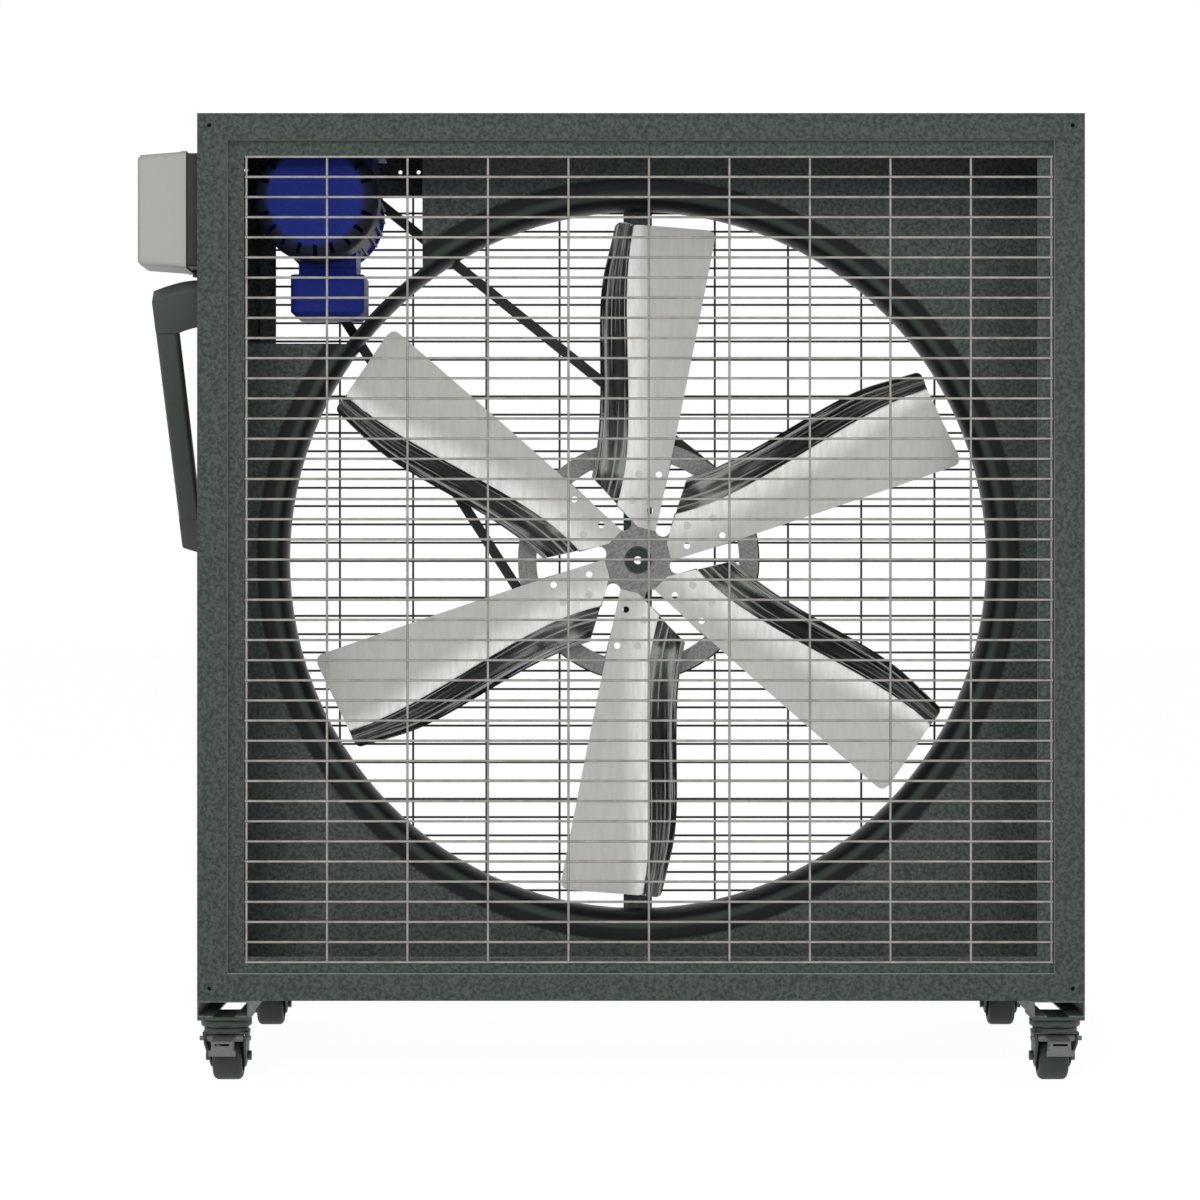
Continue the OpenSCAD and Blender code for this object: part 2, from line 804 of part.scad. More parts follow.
module blade_rivets() {
  head_r = rivet_r + 2;
  head_t = 0.8;
  color(sheet_bright) in_fan() for (n = [1 : blade_count]) {
    at_blade(n) blade_rivet_places() {
      y_rod(rivet_r - run_gap, seat_y - blade_t, seat_y + arm_t);
      y_rod(head_r, seat_y - blade_t - head_t, seat_y - blade_t);
      y_rod(head_r, seat_y + arm_t, seat_y + arm_t + head_t);
    }
  }
}

shaft_distance = norm([motor_x, motor_z]);
drive_turn = atan2(motor_z, motor_x);
wrap_half = acos((fan_belt_r - motor_belt_r) / shaft_distance);

// Stations of the belt round both pulleys, with the motor along -X: place of the pulley's
// axis, angle of the section and radius of the outer face.
wrap_steps = 48;
belt_stations = concat(
  [for (i = [0 : wrap_steps]) [0, (180 - wrap_half) * (2 * i / wrap_steps - 1), fan_belt_r]],
  [for (i = [0 : wrap_steps]) [-shaft_distance, 180 - wrap_half + 2 * wrap_half * i / wrap_steps, motor_belt_r]]
);

// The four corners of the V section at one station, from the outer face inwards.
function belt_corners(place) =
  let (foot = belt_w / 2 - belt_t * belt_taper, x = place[0], angle = place[1], r = place[2])
  [for (corner = [[r, -belt_w / 2], [r, belt_w / 2], [r - belt_t, foot], [r - belt_t, -foot]])
    [x + corner[0] * cos(angle), mid_belt_y + corner[1], corner[0] * sin(angle)]];

// Endless V-belt, its section swept from station to station.
module drive_belt() {
  count = len(belt_stations);
  color(black_part) in_fan() rotate([0, drive_turn, 0]) polyhedron(
    points = [for (place = belt_stations) each belt_corners(place)],
    faces = [for (i = [0 : count - 1]) for (j = [0 : 3])
      let (a = 4 * i, b = 4 * ((i + 1) % count), k = (j + 1) % 4) [a + j, a + k, b + k, b + j]]
  );
}

module at_motor() {
  translate([-motor_x, 0, motor_z]) children();
}

// Cast motor frame with cooling fins, feet above and a seat for the terminal box below.
module motor_frame() {
  frame_y = cowl_y + 50;
  fin_t = 2.5;
  foot_w = 30;
  foot_t = 10;
  foot_l = 140;
  web_t = 8;
  end_wall = 8;
  color(motor_blue) in_fan() at_motor() difference() {
    union() {
      y_rod(motor_tube_r, frame_y, frame_end);
      y_rod(cowl_r - cowl_wall, frame_y, cowl_y + cowl_l - 2);
      for (i = [0 : fin_count - 1]) {
        rotate([0, (i + 0.5) * 360 / fin_count, 0]) translate([motor_tube_r - 2, frame_y, -fin_t / 2])
          cube([frame_r - motor_tube_r + 2, frame_end - frame_y, fin_t]);
      }
      for (side = [-1, 1]) {
        translate([side * motor_foot_x - foot_w / 2, motor_foot_y[0] - 20, motor_foot_h - foot_t])
          cube([foot_w, foot_l, foot_t]);
        translate([side * motor_foot_x - web_t / 2, motor_foot_y[0] - 20, 25])
          cube([web_t, foot_l, motor_foot_h - foot_t - 20]);
      }
      translate([terminal_x - neck_w / 2, terminal_y + neck_inset, terminal_top])
        cube([neck_w, terminal_l - 2 * neck_inset, 30]);
    }
    y_rod(motor_tube_r - motor_wall, frame_y + end_wall, frame_end + over);
    y_rod(shaft_d / 2 + run_gap, frame_y - over, frame_y + end_wall + over);
    for (side = [-1, 1]) {
      for (y = motor_foot_y) {
        translate([side * motor_foot_x, y, motor_foot_h - foot_t - over])
          cylinder(r = motor_bolt_r, h = foot_t + 2 * over);
      }
    }
  }
}

// Drive-side end shield, with a boss round the shaft.
module motor_drive_shield() {
  shield_t = 8;
  boss_r = 32;
  spigot_l = 6;
  color(motor_blue) in_fan() at_motor() y_turn() difference() {
    union() {
      translate([0, frame_end]) square([frame_r - 2, shield_t]);
      translate([0, frame_end]) square([boss_r, motor_drive_y - frame_end]);
      translate([0, frame_end - spigot_l]) square([motor_tube_r - motor_wall - 0.3, spigot_l + 1]);
    }
    translate([0, frame_end - 2 * spigot_l]) square([shaft_d / 2 + run_gap, 5 * spigot_l]);
  }
}

// Shaft and rotor core.
module motor_rotor() {
  core_r = 45;
  core_l = 114;
  core_end = motor_drive_y - 36;
  color(steel) in_fan() at_motor() {
    y_rod(shaft_d / 2, shaft_front, mid_belt_y + pulley_w / 2);
    y_rod(core_r, core_end - core_l, core_end);
  }
}

// Radial cooling fan on the shaft, a hub and a disc with straight vanes.
module motor_cooling_fan() {
  fan_l = 20;
  hub_r = 16;
  disc_r = 34;
  disc_t = 3;
  vane_r = 58;
  vane_t = 2;
  vanes = 8;
  color(black_part) in_fan() at_motor() difference() {
    union() {
      y_rod(hub_r, shaft_front, shaft_front + fan_l);
      y_rod(disc_r, shaft_front + fan_l - disc_t - 1, shaft_front + fan_l - 1);
      for (i = [0 : vanes - 1]) {
        rotate([0, i * 360 / vanes, 0]) translate([hub_r - 4, shaft_front + 2, -vane_t / 2])
          cube([vane_r - hub_r + 4, fan_l - disc_t, vane_t]);
      }
    }
    y_rod(shaft_d / 2 + 0.02, shaft_front - over, shaft_front + fan_l + over);
  }
}

// Sheet cowl over the cooling fan, with air slots in its rounded shoulder.
module motor_cowl() {
  slots = 20;
  slot_w = 5;
  flat_r = cowl_r - cowl_round;
  color(motor_blue) in_fan() at_motor() difference() {
    y_turn() {
      translate([flat_r, cowl_y + cowl_round]) difference() {
        circle(r = cowl_round);
        circle(r = cowl_round - cowl_wall);
        translate([-2 * cowl_round, 0]) square(4 * cowl_round);
        translate([-4 * cowl_round, -2 * cowl_round]) square(4 * cowl_round);
      }
      translate([0, cowl_y]) square([flat_r, cowl_wall]);
      translate([cowl_r - cowl_wall, cowl_y + cowl_round]) square([cowl_wall, cowl_l - cowl_round]);
    }
    for (i = [0 : slots - 1]) {
      rotate([0, i * 360 / slots, 0]) translate([flat_r + 2, cowl_y - over, -slot_w / 2])
        cube([cowl_round - 7, cowl_round, slot_w]);
    }
  }
}

// Grooved pulley on the motor shaft, with a pocket in each face round its hub.
module motor_pulley() {
  bore_r = shaft_d / 2 + 0.02;
  hub_t = 11;
  pocket_w = 20;
  pocket_d = 7;
  color(cast_grey) in_fan() at_motor() y_turn() difference() {
    translate([bore_r, pulley_y]) square([motor_pulley_r - bore_r, pulley_w]);
    groove_section(motor_belt_r, motor_pulley_r);
    translate([bore_r + hub_t, pulley_y - over]) square([pocket_w, pocket_d + over]);
    translate([bore_r + hub_t, pulley_y + pulley_w - pocket_d]) square([pocket_w, pocket_d + over]);
  }
}

// Slide base between the motor feet and the top panel, slotted for belt tension.
module motor_slide_base() {
  base_w = 168;
  base_l = 150;
  base_t = 3;
  rim_w = 22;
  slot_travel = 18;
  gap = inner - motor_z - motor_foot_h;
  base_y = motor_foot_y[0] - 20;
  color(steel) in_fan() at_motor() difference() {
    union() {
      translate([-base_w / 2, base_y, motor_foot_h]) cube([base_w, base_l, base_t]);
      for (side = [-1, 1]) {
        translate([side * (base_w - base_t) / 2 - base_t / 2, base_y, motor_foot_h])
          cube([base_t, base_l, gap]);
        translate([side * (base_w / 2 + rim_w / 2 - base_t) - rim_w / 2, base_y, motor_foot_h + gap - base_t])
          cube([rim_w, base_l, base_t]);
      }
    }
    for (side = [-1, 1]) {
      for (y = motor_foot_y) {
        translate([side * motor_foot_x, y, motor_foot_h - over]) {
          for (x = [-slot_travel / 2, slot_travel / 2]) {
            translate([x, 0, 0]) cylinder(r = motor_bolt_r, h = base_t + 2 * over);
          }
          translate([-slot_travel / 2, -motor_bolt_r, 0])
            cube([slot_travel, 2 * motor_bolt_r, base_t + 2 * over]);
        }
      }
    }
  }
}

terminal_y = cowl_y + 88;
terminal_top = -frame_r - 4;
lid_h = 17;
neck_h = 10;
neck_w = 74;
neck_inset = 6;

// Terminal box under the motor: a neck on the frame's seat and a wider open tray.
module terminal_box() {
  tray_h = terminal_h - lid_h;
  color(motor_blue) in_fan() at_motor() translate([terminal_x, 0, 0]) difference() {
    union() {
      translate([-neck_w / 2, terminal_y + neck_inset, terminal_top - neck_h])
        cube([neck_w, terminal_l - 2 * neck_inset, neck_h]);
      translate([0, terminal_y + terminal_l / 2, terminal_top - neck_h - tray_h])
        linear_extrude(tray_h) soft_rect(terminal_w, terminal_l, 9);
    }
    translate([0, terminal_y + terminal_l / 2, terminal_top - neck_h - tray_h - over])
      linear_extrude(tray_h - 2) soft_rect(terminal_w - 7, terminal_l - 7, 6);
    translate([0, terminal_y + terminal_l / 2, terminal_top - neck_h - tray_h - over])
      cylinder(r = 18, h = tray_h + neck_h + 2 * over);
  }
}

module terminal_box_lid() {
  bottom = terminal_top - neck_h - terminal_h;
  color(motor_blue) in_fan() at_motor() translate([terminal_x, terminal_y + terminal_l / 2, bottom]) {
    translate([0, 0, 6]) linear_extrude(lid_h - 6) soft_rect(terminal_w, terminal_l, 9);
    hull() {
      translate([0, 0, 5.9]) linear_extrude(0.2) soft_rect(terminal_w, terminal_l, 9);
      linear_extrude(0.2) soft_rect(terminal_w - 14, terminal_l - 14, 6);
    }
  }
}

// Draws children with X pointing out of the left wall and Y and Z as in the housing.
module on_left_wall(y, z) {
  translate([-half, y, z]) mirror([1, 0, 0]) children();
}

// A block with round corners standing on the wall, from x0 to x1.
module wall_block(x0, x1, l, h, r) {
  translate([x0, 0, 0]) rotate([90, 0, 90]) linear_extrude(x1 - x0) soft_rect(l, h, r);
}

box_back_l = box_l - 2 * box_t;
box_back_h = box_h - 2 * box_t;

module connection_box_base() {
  color(black_part) in_fan() on_left_wall(box_y + box_l / 2, box_z) difference() {
    wall_block(0, box_base_d, box_back_l, box_back_h, 7);
    wall_block(box_t, box_base_d + over, box_back_l - 2 * box_t, box_back_h - 2 * box_t, 5);
    x_rod(cable_hole_r, -over, box_t + over);
    translate([gland_x, gland_y - box_y - box_l / 2, -box_back_h / 2 - over])
      cylinder(r = gland_neck_r, h = box_t + 2 * over);
  }
}

// Drafted cover with a straight lip that laps the base.
module connection_box_cover() {
  lip_x = box_base_d - 1;
  draft_h = 9;
  draft_l = 7;
  round_in = 7;
  front_wall = 6;
  color(box_grey) in_fan() on_left_wall(box_y + box_l / 2, box_z) difference() {
    union() {
      wall_block(lip_x, lip_x + box_lip, box_l, box_h, 8);
      hull() {
        wall_block(lip_x + box_lip - 0.1, lip_x + box_lip + 0.1, box_l - 2, box_h - 2, 8);
        wall_block(box_reach - 4, box_reach - 3.5, box_l - draft_l, box_h - draft_h, 9);
        wall_block(box_reach - 0.5, box_reach, box_l - draft_l - round_in, box_h - draft_h - round_in, 6);
      }
    }
    wall_block(lip_x - over, box_base_d, box_back_l + 0.1, box_back_h + 0.1, 7);
    wall_block(box_base_d - 0.1, box_reach - front_wall, box_back_l - 2 * front_wall,
      box_back_h - 2 * round_in, 5);
  }
}

// Gland in the underside of the connection box, open for a cable.
module cable_gland() {
  color(black_part) in_fan() on_left_wall(gland_y, box_z)
    translate([gland_x, 0, -box_back_h / 2]) difference() {
      union() {
        translate([0, 0, -gland_l]) cylinder(r = gland_r, h = gland_l);
        cylinder(r = gland_neck_r - 0.02, h = box_t + 3);
      }
      translate([0, 0, -gland_l - over]) cylinder(d = gland_bore_d, h = gland_l + box_t + 6);
    }
}

// Handle on the left wall: local X out of the wall, local Z along the grip, down and back.
module at_handle() {
  translate([-half, handle_y, handle_z]) rotate([-135, 0, 0]) mirror([1, 0, 0]) children();
}

// Outline of a foot: first number out from the wall, second along the grip.
module foot_outline() {
  steps = 10;
  corner = 8;
  root_in = 11;
  inner_x = handle_reach - grip_w;
  difference() {
    polygon(concat(
      [for (i = [0 : steps]) [handle_reach * i / steps, -foot_splay * cos(90 * i / steps)]],
      [[handle_reach, foot_l], [inner_x, foot_l]],
      [for (i = [steps : -1 : 0]) [inner_x * i / steps, foot_l - root_in * cos(90 * i / steps)]]
    ));
    translate([handle_reach - corner, corner - 4]) difference() {
      translate([0, -2 * corner]) square(2 * corner);
      circle(r = corner, $fn = 48);
      translate([-over, 0]) square(2 * corner + 2 * over);
      translate([-2 * corner, -3 * corner]) square([2 * corner, 4 * corner]);
    }
  }
}

module handle_foot() {
  translate([0, -grip_t, 0]) mirror([0, 1, 0]) rotate([90, 0, 0]) linear_extrude(grip_t) foot_outline();
}

module handle_foot_upper() {
  color(frame_paint) in_fan() at_handle() handle_foot();
}

module handle_foot_lower() {
  color(frame_paint) in_fan() at_handle() translate([0, 0, handle_l]) mirror([0, 0, 1]) handle_foot();
}

module handle_grip() {
  wall = 3;
  color(frame_paint) in_fan() at_handle() translate([handle_reach - grip_w / 2, -grip_t / 2, foot_l])
    linear_extrude(handle_l - 2 * foot_l) difference() {
      soft_rect(grip_w, grip_t, 5);
      soft_rect(grip_w - 2 * wall, grip_t - 2 * wall, 2);
    }
}

// Lipped channel under one side of the housing. side is -1 on the left.
module base_rail(side) {
  top_z = castor_h + plate_t + rail_h;
  color(frame_paint) in_housing() mirror([side < 0 ? 1 : 0, 0, 0])
    translate([half - rail_w, 0, castor_h + plate_t]) {
      translate([0, 0, rail_h - sheet]) cube([rail_w, rail_l, sheet]);
      cube([sheet, rail_l, rail_h]);
      translate([rail_w - sheet, 0, 0]) cube([sheet, rail_l, rail_h]);
      cube([rail_lip_in, rail_l, sheet]);
      translate([rail_w - rail_lip_out, 0, 0]) cube([rail_lip_out, rail_l, sheet]);
    }
}

// Castor parts are drawn with the swivel axis on Z and the wheel behind it.
module at_castor(side, y) {
  in_housing() translate([side * castor_x, y, 0]) children();
}

pin_r = 6;
pin_head_r = 9;
pin_head_l = 2.5;

// Plate under the rail with the swivel race and its riveted pin.
module castor_plate(side, y) {
  hole_x = rail_w / 2 - 8;
  hole_y = plate_l / 2 - 8;
  edge = 2;
  crown_under = crown_top - fork_t - race_gap;
  color(steel) at_castor(side, y) {
    difference() {
      translate([-rail_w / 2, -plate_l / 2, castor_h]) cube([rail_w, plate_l, plate_t]);
      for (sx = [-1, 1]) {
        for (sy = [-1, 1]) {
          translate([sx * hole_x, sy * hole_y, castor_h - over]) cylinder(r = 3.5, h = plate_t + 2 * over);
        }
      }
    }
    rotate_extrude() polygon([
      [0, castor_h], [race_r - edge, castor_h], [race_r, castor_h - edge], [race_r, race_z + edge],
      [race_r - edge, race_z], [pin_r, race_z], [pin_r, crown_under], [pin_head_r, crown_under],
      [pin_head_r, crown_under - pin_head_l], [0, crown_under - pin_head_l]
    ]);
  }
}

// How far the outer face of a fork leg lies from the swivel axis at height z.
function fork_x(z) = fork_foot + (z - fork_foot_z) * tan(fork_lean);

// Side view of a fork leg, first number back from the swivel axis, second up from its foot.
module leg_outline() {
  neck = fork_end_r - 5;
  polygon([
    [pedal_pivot_y - 4, fork_leg_l - 1], [pedal_pivot_y - 7, fork_leg_l - 6],
    [pedal_pivot_y - 6, fork_leg_l - 15], [trail - neck, neck - 4], [trail + neck, fork_end_r + 6],
    [trail - 6, fork_leg_l - 1]
  ]);
  translate([trail, fork_end_r]) circle(r = fork_end_r, $fn = 64);
}

// Pressed fork: a race, a round-cornered crown and two legs that lean in to the axle.
module castor_fork(side, y, braked) {
  race_step = 4;
  edge = 1.5;
  crown_r = 34;
  color(black_part) at_castor(side, y) difference() {
    union() {
      rotate_extrude() polygon([
        [0, crown_top - edge], [race_r - race_step, crown_top - edge],
        [race_r - race_step, race_z - race_gap - edge], [race_r - race_step - edge, race_z - race_gap],
        [0, race_z - race_gap]
      ]);
      translate([0, 0, crown_top - fork_t]) linear_extrude(fork_t) intersection() {
        circle(r = crown_r);
        translate([-fork_top, pedal_pivot_y - 6]) square([2 * fork_top, trail - 2 * pedal_pivot_y]);
      }
      for (turn = [0, 1]) {
        mirror([turn, 0, 0]) translate([fork_foot, 0, fork_foot_z]) rotate([0, fork_lean, 0])
          translate([-fork_t, 0, 0]) rotate([90, 0, 90]) linear_extrude(fork_t) leg_outline();
      }
    }
    translate([0, 0, crown_top - fork_t - over]) cylinder(r = pin_r + run_gap, h = castor_h);
    translate([0, trail, wheel_r]) x_rod(axle_r, -fork_top - over, fork_top + over);
    if (braked) {
      translate([0, pedal_pivot_y, pedal_pivot_z])
        x_rod(pedal_pin_r + run_gap, -fork_top - over, fork_top + over);
    }
  }
}

// Axle bolt with a head on one side and a nut on the other.
module castor_axle(side, y) {
  head_r = 6;
  head_l = 4;
  seat = fork_x(wheel_r + head_r);
  color(steel) at_castor(side, y) translate([0, trail, wheel_r]) {
    x_rod(axle_r, -seat - head_l, seat + head_l);
    x_rod(head_r, -seat - head_l, -seat);
    x_rod(head_r, seat, seat + head_l);
  }
}

// Solid wheel with rounded shoulders and a recessed web.
module castor_wheel(side, y) {
  shoulder = 7;
  color(black_part) at_castor(side, y) translate([0, trail, wheel_r]) rotate([0, 90, 0]) rotate_extrude()
    difference() {
      union() {
        translate([0, -wheel_half]) square([wheel_r - shoulder, wheel_w]);
        translate([0, shoulder - wheel_half]) square([wheel_r, wheel_w - 2 * shoulder]);
        for (s = [-1, 1]) {
          translate([wheel_r - shoulder, s * (wheel_half - shoulder)]) circle(r = shoulder, $fn = 48);
        }
      }
      translate([-2 * wheel_r, -wheel_r]) square([2 * wheel_r + axle_r + run_gap, 2 * wheel_r]);
      for (s = [-1, 1]) {
        translate([9, s * wheel_half - 3.5]) square([10, 7]);
      }
    }
}

// The wheel's axle seen from the pedal's pivot, and a point of the tread when the pedal is down,
// turned back to where the shoe's face is at rest.
wheel_from_pivot = [trail - pedal_pivot_y, wheel_r - pedal_pivot_z];
shoe_gap = 0.35;
function shoe_point(around) =
  let (down = wheel_from_pivot + (wheel_r + shoe_gap) * [cos(around), sin(around)])
  [down[0] * cos(pedal_travel) + down[1] * sin(pedal_travel),
    down[1] * cos(pedal_travel) - down[0] * sin(pedal_travel)];

// Pressed foot pedal on a pin through the fork, with a wide lip at its foot and a shoe behind.
module brake_pedal(side, y) {
  pin_out = 4;
  pedal_t = 3;
  barrel_r = pedal_barrel_r;
  lip_h = 6;
  slot_h = 2.5;
  slot_l = 18;
  shoe_half = 11;
  toe = -pedal_pivot_y - pedal_reach;
  lip_top = lip_h - pedal_h;
  shoe_low = shoe_point(168);
  shoe_high = shoe_point(155);
  barrel_half = fork_x(pedal_pivot_z - barrel_r) - fork_t - 0.5;
  color(pedal_grey) at_castor(side, y) translate([0, pedal_pivot_y, pedal_pivot_z]) {
    x_rod(pedal_pin_r, -fork_top - pin_out, fork_top + pin_out);
    x_rod(barrel_r, -barrel_half, barrel_half);
    difference() {
      rotate([90, 0, 90]) translate([0, 0, -pedal_arm_w / 2]) linear_extrude(pedal_arm_w) polygon([
        [1, barrel_r - 0.5], [-6, barrel_r], [toe + 6, pedal_t], [toe, 0], [toe, lip_top - 1],
        [toe + pedal_t, lip_top - 1], [toe + pedal_t, -1.5], [toe + 7, pedal_t - 3.5], [-7, 1.5],
        [-1, 1.5 - barrel_r]
      ]);
      translate([-slot_l / 2, toe - over, -2 * slot_h]) cube([slot_l, pedal_t + 2 * over, slot_h]);
    }
    rotate([90, 0, 90]) translate([0, 0, -pedal_w / 2]) linear_extrude(pedal_w) polygon([
      [toe + 1, lip_top + 1.5], [toe, lip_top], [toe, -pedal_h], [toe + pedal_t, -pedal_h],
      [toe + pedal_t, lip_top - 1], [toe + pedal_t + 1, lip_top + 1.5]
    ]);
    rotate([90, 0, 90]) translate([0, 0, -shoe_half]) linear_extrude(2 * shoe_half) polygon([
      [-barrel_r + 0.6, 0], [shoe_low[0] - 5, shoe_low[1] + 3], [shoe_low[0] - 2, shoe_low[1]],
      shoe_low, shoe_high, [barrel_r - 0.6, 0]
    ]);
  }
}

top_panel();
bottom_panel();
left_panel();
right_panel();
front_frame();
rear_frame();
venturi_panel();
front_grille();
rear_grille(-1);  // rear_grille_left
rear_grille(1);  // rear_grille_right
frame_rivets();
support_bar();
fan_axle();
axle_nut();
axle_washer();
hub_bearings();
fan_pulley();
blade(1);  // blade_1
blade(2);  // blade_2
blade(3);  // blade_3
blade(4);  // blade_4
blade(5);  // blade_5
blade(6);  // blade_6
blade_rivets();
drive_belt();
motor_frame();
motor_drive_shield();
motor_rotor();
motor_cooling_fan();
motor_cowl();
motor_pulley();
motor_slide_base();
terminal_box();
terminal_box_lid();
connection_box_base();
connection_box_cover();
cable_gland();
handle_grip();
handle_foot_upper();
handle_foot_lower();
base_rail(-1);  // base_rail_left
base_rail(1);  // base_rail_right
castor_plate(-1, front_castor_y);  // castor_plate_fl
castor_fork(-1, front_castor_y, true);  // castor_fork_fl
castor_axle(-1, front_castor_y);  // castor_axle_fl
castor_wheel(-1, front_castor_y);  // castor_wheel_fl
brake_pedal(-1, front_castor_y);  // brake_pedal_fl
castor_plate(1, front_castor_y);  // castor_plate_fr
castor_fork(1, front_castor_y, true);  // castor_fork_fr
castor_axle(1, front_castor_y);  // castor_axle_fr
castor_wheel(1, front_castor_y);  // castor_wheel_fr
brake_pedal(1, front_castor_y);  // brake_pedal_fr
castor_plate(-1, rear_castor_y);  // castor_plate_rl
castor_fork(-1, rear_castor_y, false);  // castor_fork_rl
castor_axle(-1, rear_castor_y);  // castor_axle_rl
castor_wheel(-1, rear_castor_y);  // castor_wheel_rl
castor_plate(1, rear_castor_y);  // castor_plate_rr
castor_fork(1, rear_castor_y, false);  // castor_fork_rr
castor_axle(1, rear_castor_y);  // castor_axle_rr
castor_wheel(1, rear_castor_y);  // castor_wheel_rr
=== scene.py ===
"""A belt-driven axial fan in a square sheet-metal housing on four castors, dressed over its CAD frame."""

import json
import math

import bmesh
import bpy
from mathutils import Matrix, Vector


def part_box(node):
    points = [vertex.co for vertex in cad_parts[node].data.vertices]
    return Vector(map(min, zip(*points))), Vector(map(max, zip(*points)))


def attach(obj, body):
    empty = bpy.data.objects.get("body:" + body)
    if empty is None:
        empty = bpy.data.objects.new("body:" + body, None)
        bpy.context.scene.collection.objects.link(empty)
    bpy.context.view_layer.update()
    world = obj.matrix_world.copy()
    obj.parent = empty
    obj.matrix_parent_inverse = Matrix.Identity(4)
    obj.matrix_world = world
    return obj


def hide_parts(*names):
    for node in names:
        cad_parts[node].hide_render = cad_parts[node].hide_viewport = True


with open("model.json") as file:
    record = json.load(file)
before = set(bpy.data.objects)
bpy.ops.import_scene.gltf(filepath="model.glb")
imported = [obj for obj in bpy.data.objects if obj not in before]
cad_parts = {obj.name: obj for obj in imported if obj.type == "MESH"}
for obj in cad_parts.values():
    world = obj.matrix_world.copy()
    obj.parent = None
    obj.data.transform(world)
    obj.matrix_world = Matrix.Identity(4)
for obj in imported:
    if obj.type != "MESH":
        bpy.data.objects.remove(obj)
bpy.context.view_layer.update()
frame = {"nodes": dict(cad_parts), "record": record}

# Camera: a long lens held level, a little below the fan's axis and left of it, square to the
# front grille. The housing's front face and the propeller's axis place it.
housing_low, housing_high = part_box("front_frame")
fan_axis = (housing_low + housing_high) / 2
front_y = housing_low.y
camera_distance = 4.08
camera_left_of_axis = 0.0508
camera_below_axis = 0.0533
lens = bpy.data.cameras.new("photo_camera")
lens.sensor_width = 36.0
lens.lens = 98.8
lens.clip_end = 100.0
camera = bpy.data.objects.new("photo_camera", lens)
camera_height = fan_axis.z - camera_below_axis
camera.location = (fan_axis.x - camera_left_of_axis, front_y - camera_distance, camera_height)
camera.rotation_euler = (math.radians(90), 0.0, 0.0)
bpy.context.collection.objects.link(camera)
bpy.context.scene.camera = camera
bpy.context.scene.view_settings.view_transform = "Standard"


class Socket:
    """A node's output that Python's operators work on, so node maths reads as an expression."""

    def __init__(self, tree, link):
        self.tree = tree
        self.link = link

    def maths(self, operation, first, second=0.0):
        return add(self.tree, "ShaderNodeMath", {"operation": operation}, {0: first, 1: second})

    def __add__(self, other):
        return self.maths("ADD", self, other)

    def __sub__(self, other):
        return self.maths("SUBTRACT", self, other)

    def __rsub__(self, other):
        return self.maths("SUBTRACT", other, self)

    def __mul__(self, other):
        return self.maths("MULTIPLY", self, other)

    __radd__ = __add__
    __rmul__ = __mul__


def add(tree, kind, settings, inputs, output=0):
    """Adds a node: its settings first, then the value or link of each socket."""
    made = tree.nodes.new(kind)
    for key, value in settings.items():
        setattr(made, key, value)
    for key, value in inputs.items():
        if isinstance(value, Socket):
            tree.links.new(value.link, made.inputs[key])
        else:
            made.inputs[key].default_value = value
    return Socket(tree, made.outputs[output])


# Studio: a pale floor and a white surround, with two soft lamps behind the camera, so that the
# plate behind the grille is lit like the frame. Rays from the camera and from gloss see plain
# white, and the floor still takes a shadow.
white = (1.0, 1.0, 1.0, 1.0)
surround_glow = 0.22
floor_glow = 1.26
floor_glow_share = 0.75


def plainly_seen(tree):
    """1 for rays from the camera, from gloss or through glass, and 0 for those that only carry light."""
    rays = tree.nodes.new("ShaderNodeLightPath")
    camera_ray = Socket(tree, rays.outputs["Is Camera Ray"])
    gloss_ray = Socket(tree, rays.outputs["Is Glossy Ray"])
    glass_ray = Socket(tree, rays.outputs["Is Transmission Ray"])
    return camera_ray + gloss_ray + glass_ray


surround = bpy.data.worlds.new("white_surround")
surround.use_nodes = True
bpy.context.scene.world = surround
tree = surround.node_tree
tree.nodes.clear()
brightness = {"Value": plainly_seen(tree), "To Min": surround_glow, "To Max": 1.0}
level = add(tree, "ShaderNodeMapRange", {}, brightness)
sky = add(tree, "ShaderNodeBackground", {}, {"Color": white, "Strength": level})
world_out = tree.nodes.new("ShaderNodeOutputWorld")
tree.links.new(sky.link, world_out.inputs["Surface"])

floor_mesh = bpy.data.meshes.new("studio_floor")
floor_half = 40.0
floor_corners = [(x * floor_half, y * floor_half, 0.0) for x, y in ((-1, -1), (1, -1), (1, 1), (-1, 1))]
floor_mesh.from_pydata(floor_corners, [], [(0, 1, 2, 3)])
floor = bpy.data.objects.new("studio_floor", floor_mesh)
bpy.context.collection.objects.link(floor)
pale = bpy.data.materials.new("pale_floor")
pale.use_nodes = True
tree = pale.node_tree
tree.nodes.clear()
matt = add(tree, "ShaderNodeBsdfDiffuse", {}, {"Color": (0.9, 0.9, 0.9, 1.0)})
glow = add(tree, "ShaderNodeEmission", {}, {"Color": white, "Strength": floor_glow})
shares = {0: plainly_seen(tree) * floor_glow_share, 1: matt, 2: glow}
mixed = add(tree, "ShaderNodeMixShader", {}, shares)
floor_out = tree.nodes.new("ShaderNodeOutputMaterial")
tree.links.new(mixed.link, floor_out.inputs["Surface"])
floor_mesh.materials.append(pale)


def soft_lamp(name, place, power, size):
    """A square area lamp aimed at the middle of the fan, left out of what bright metal mirrors."""
    lamp = bpy.data.lights.new(name, "AREA")
    lamp.energy = power
    lamp.size = size
    holder = bpy.data.objects.new(name, lamp)
    holder.location = place
    aim = fan_axis - Vector(place)
    holder.rotation_euler = aim.to_track_quat("-Z", "Y").to_euler()
    holder.visible_glossy = False
    bpy.context.collection.objects.link(holder)


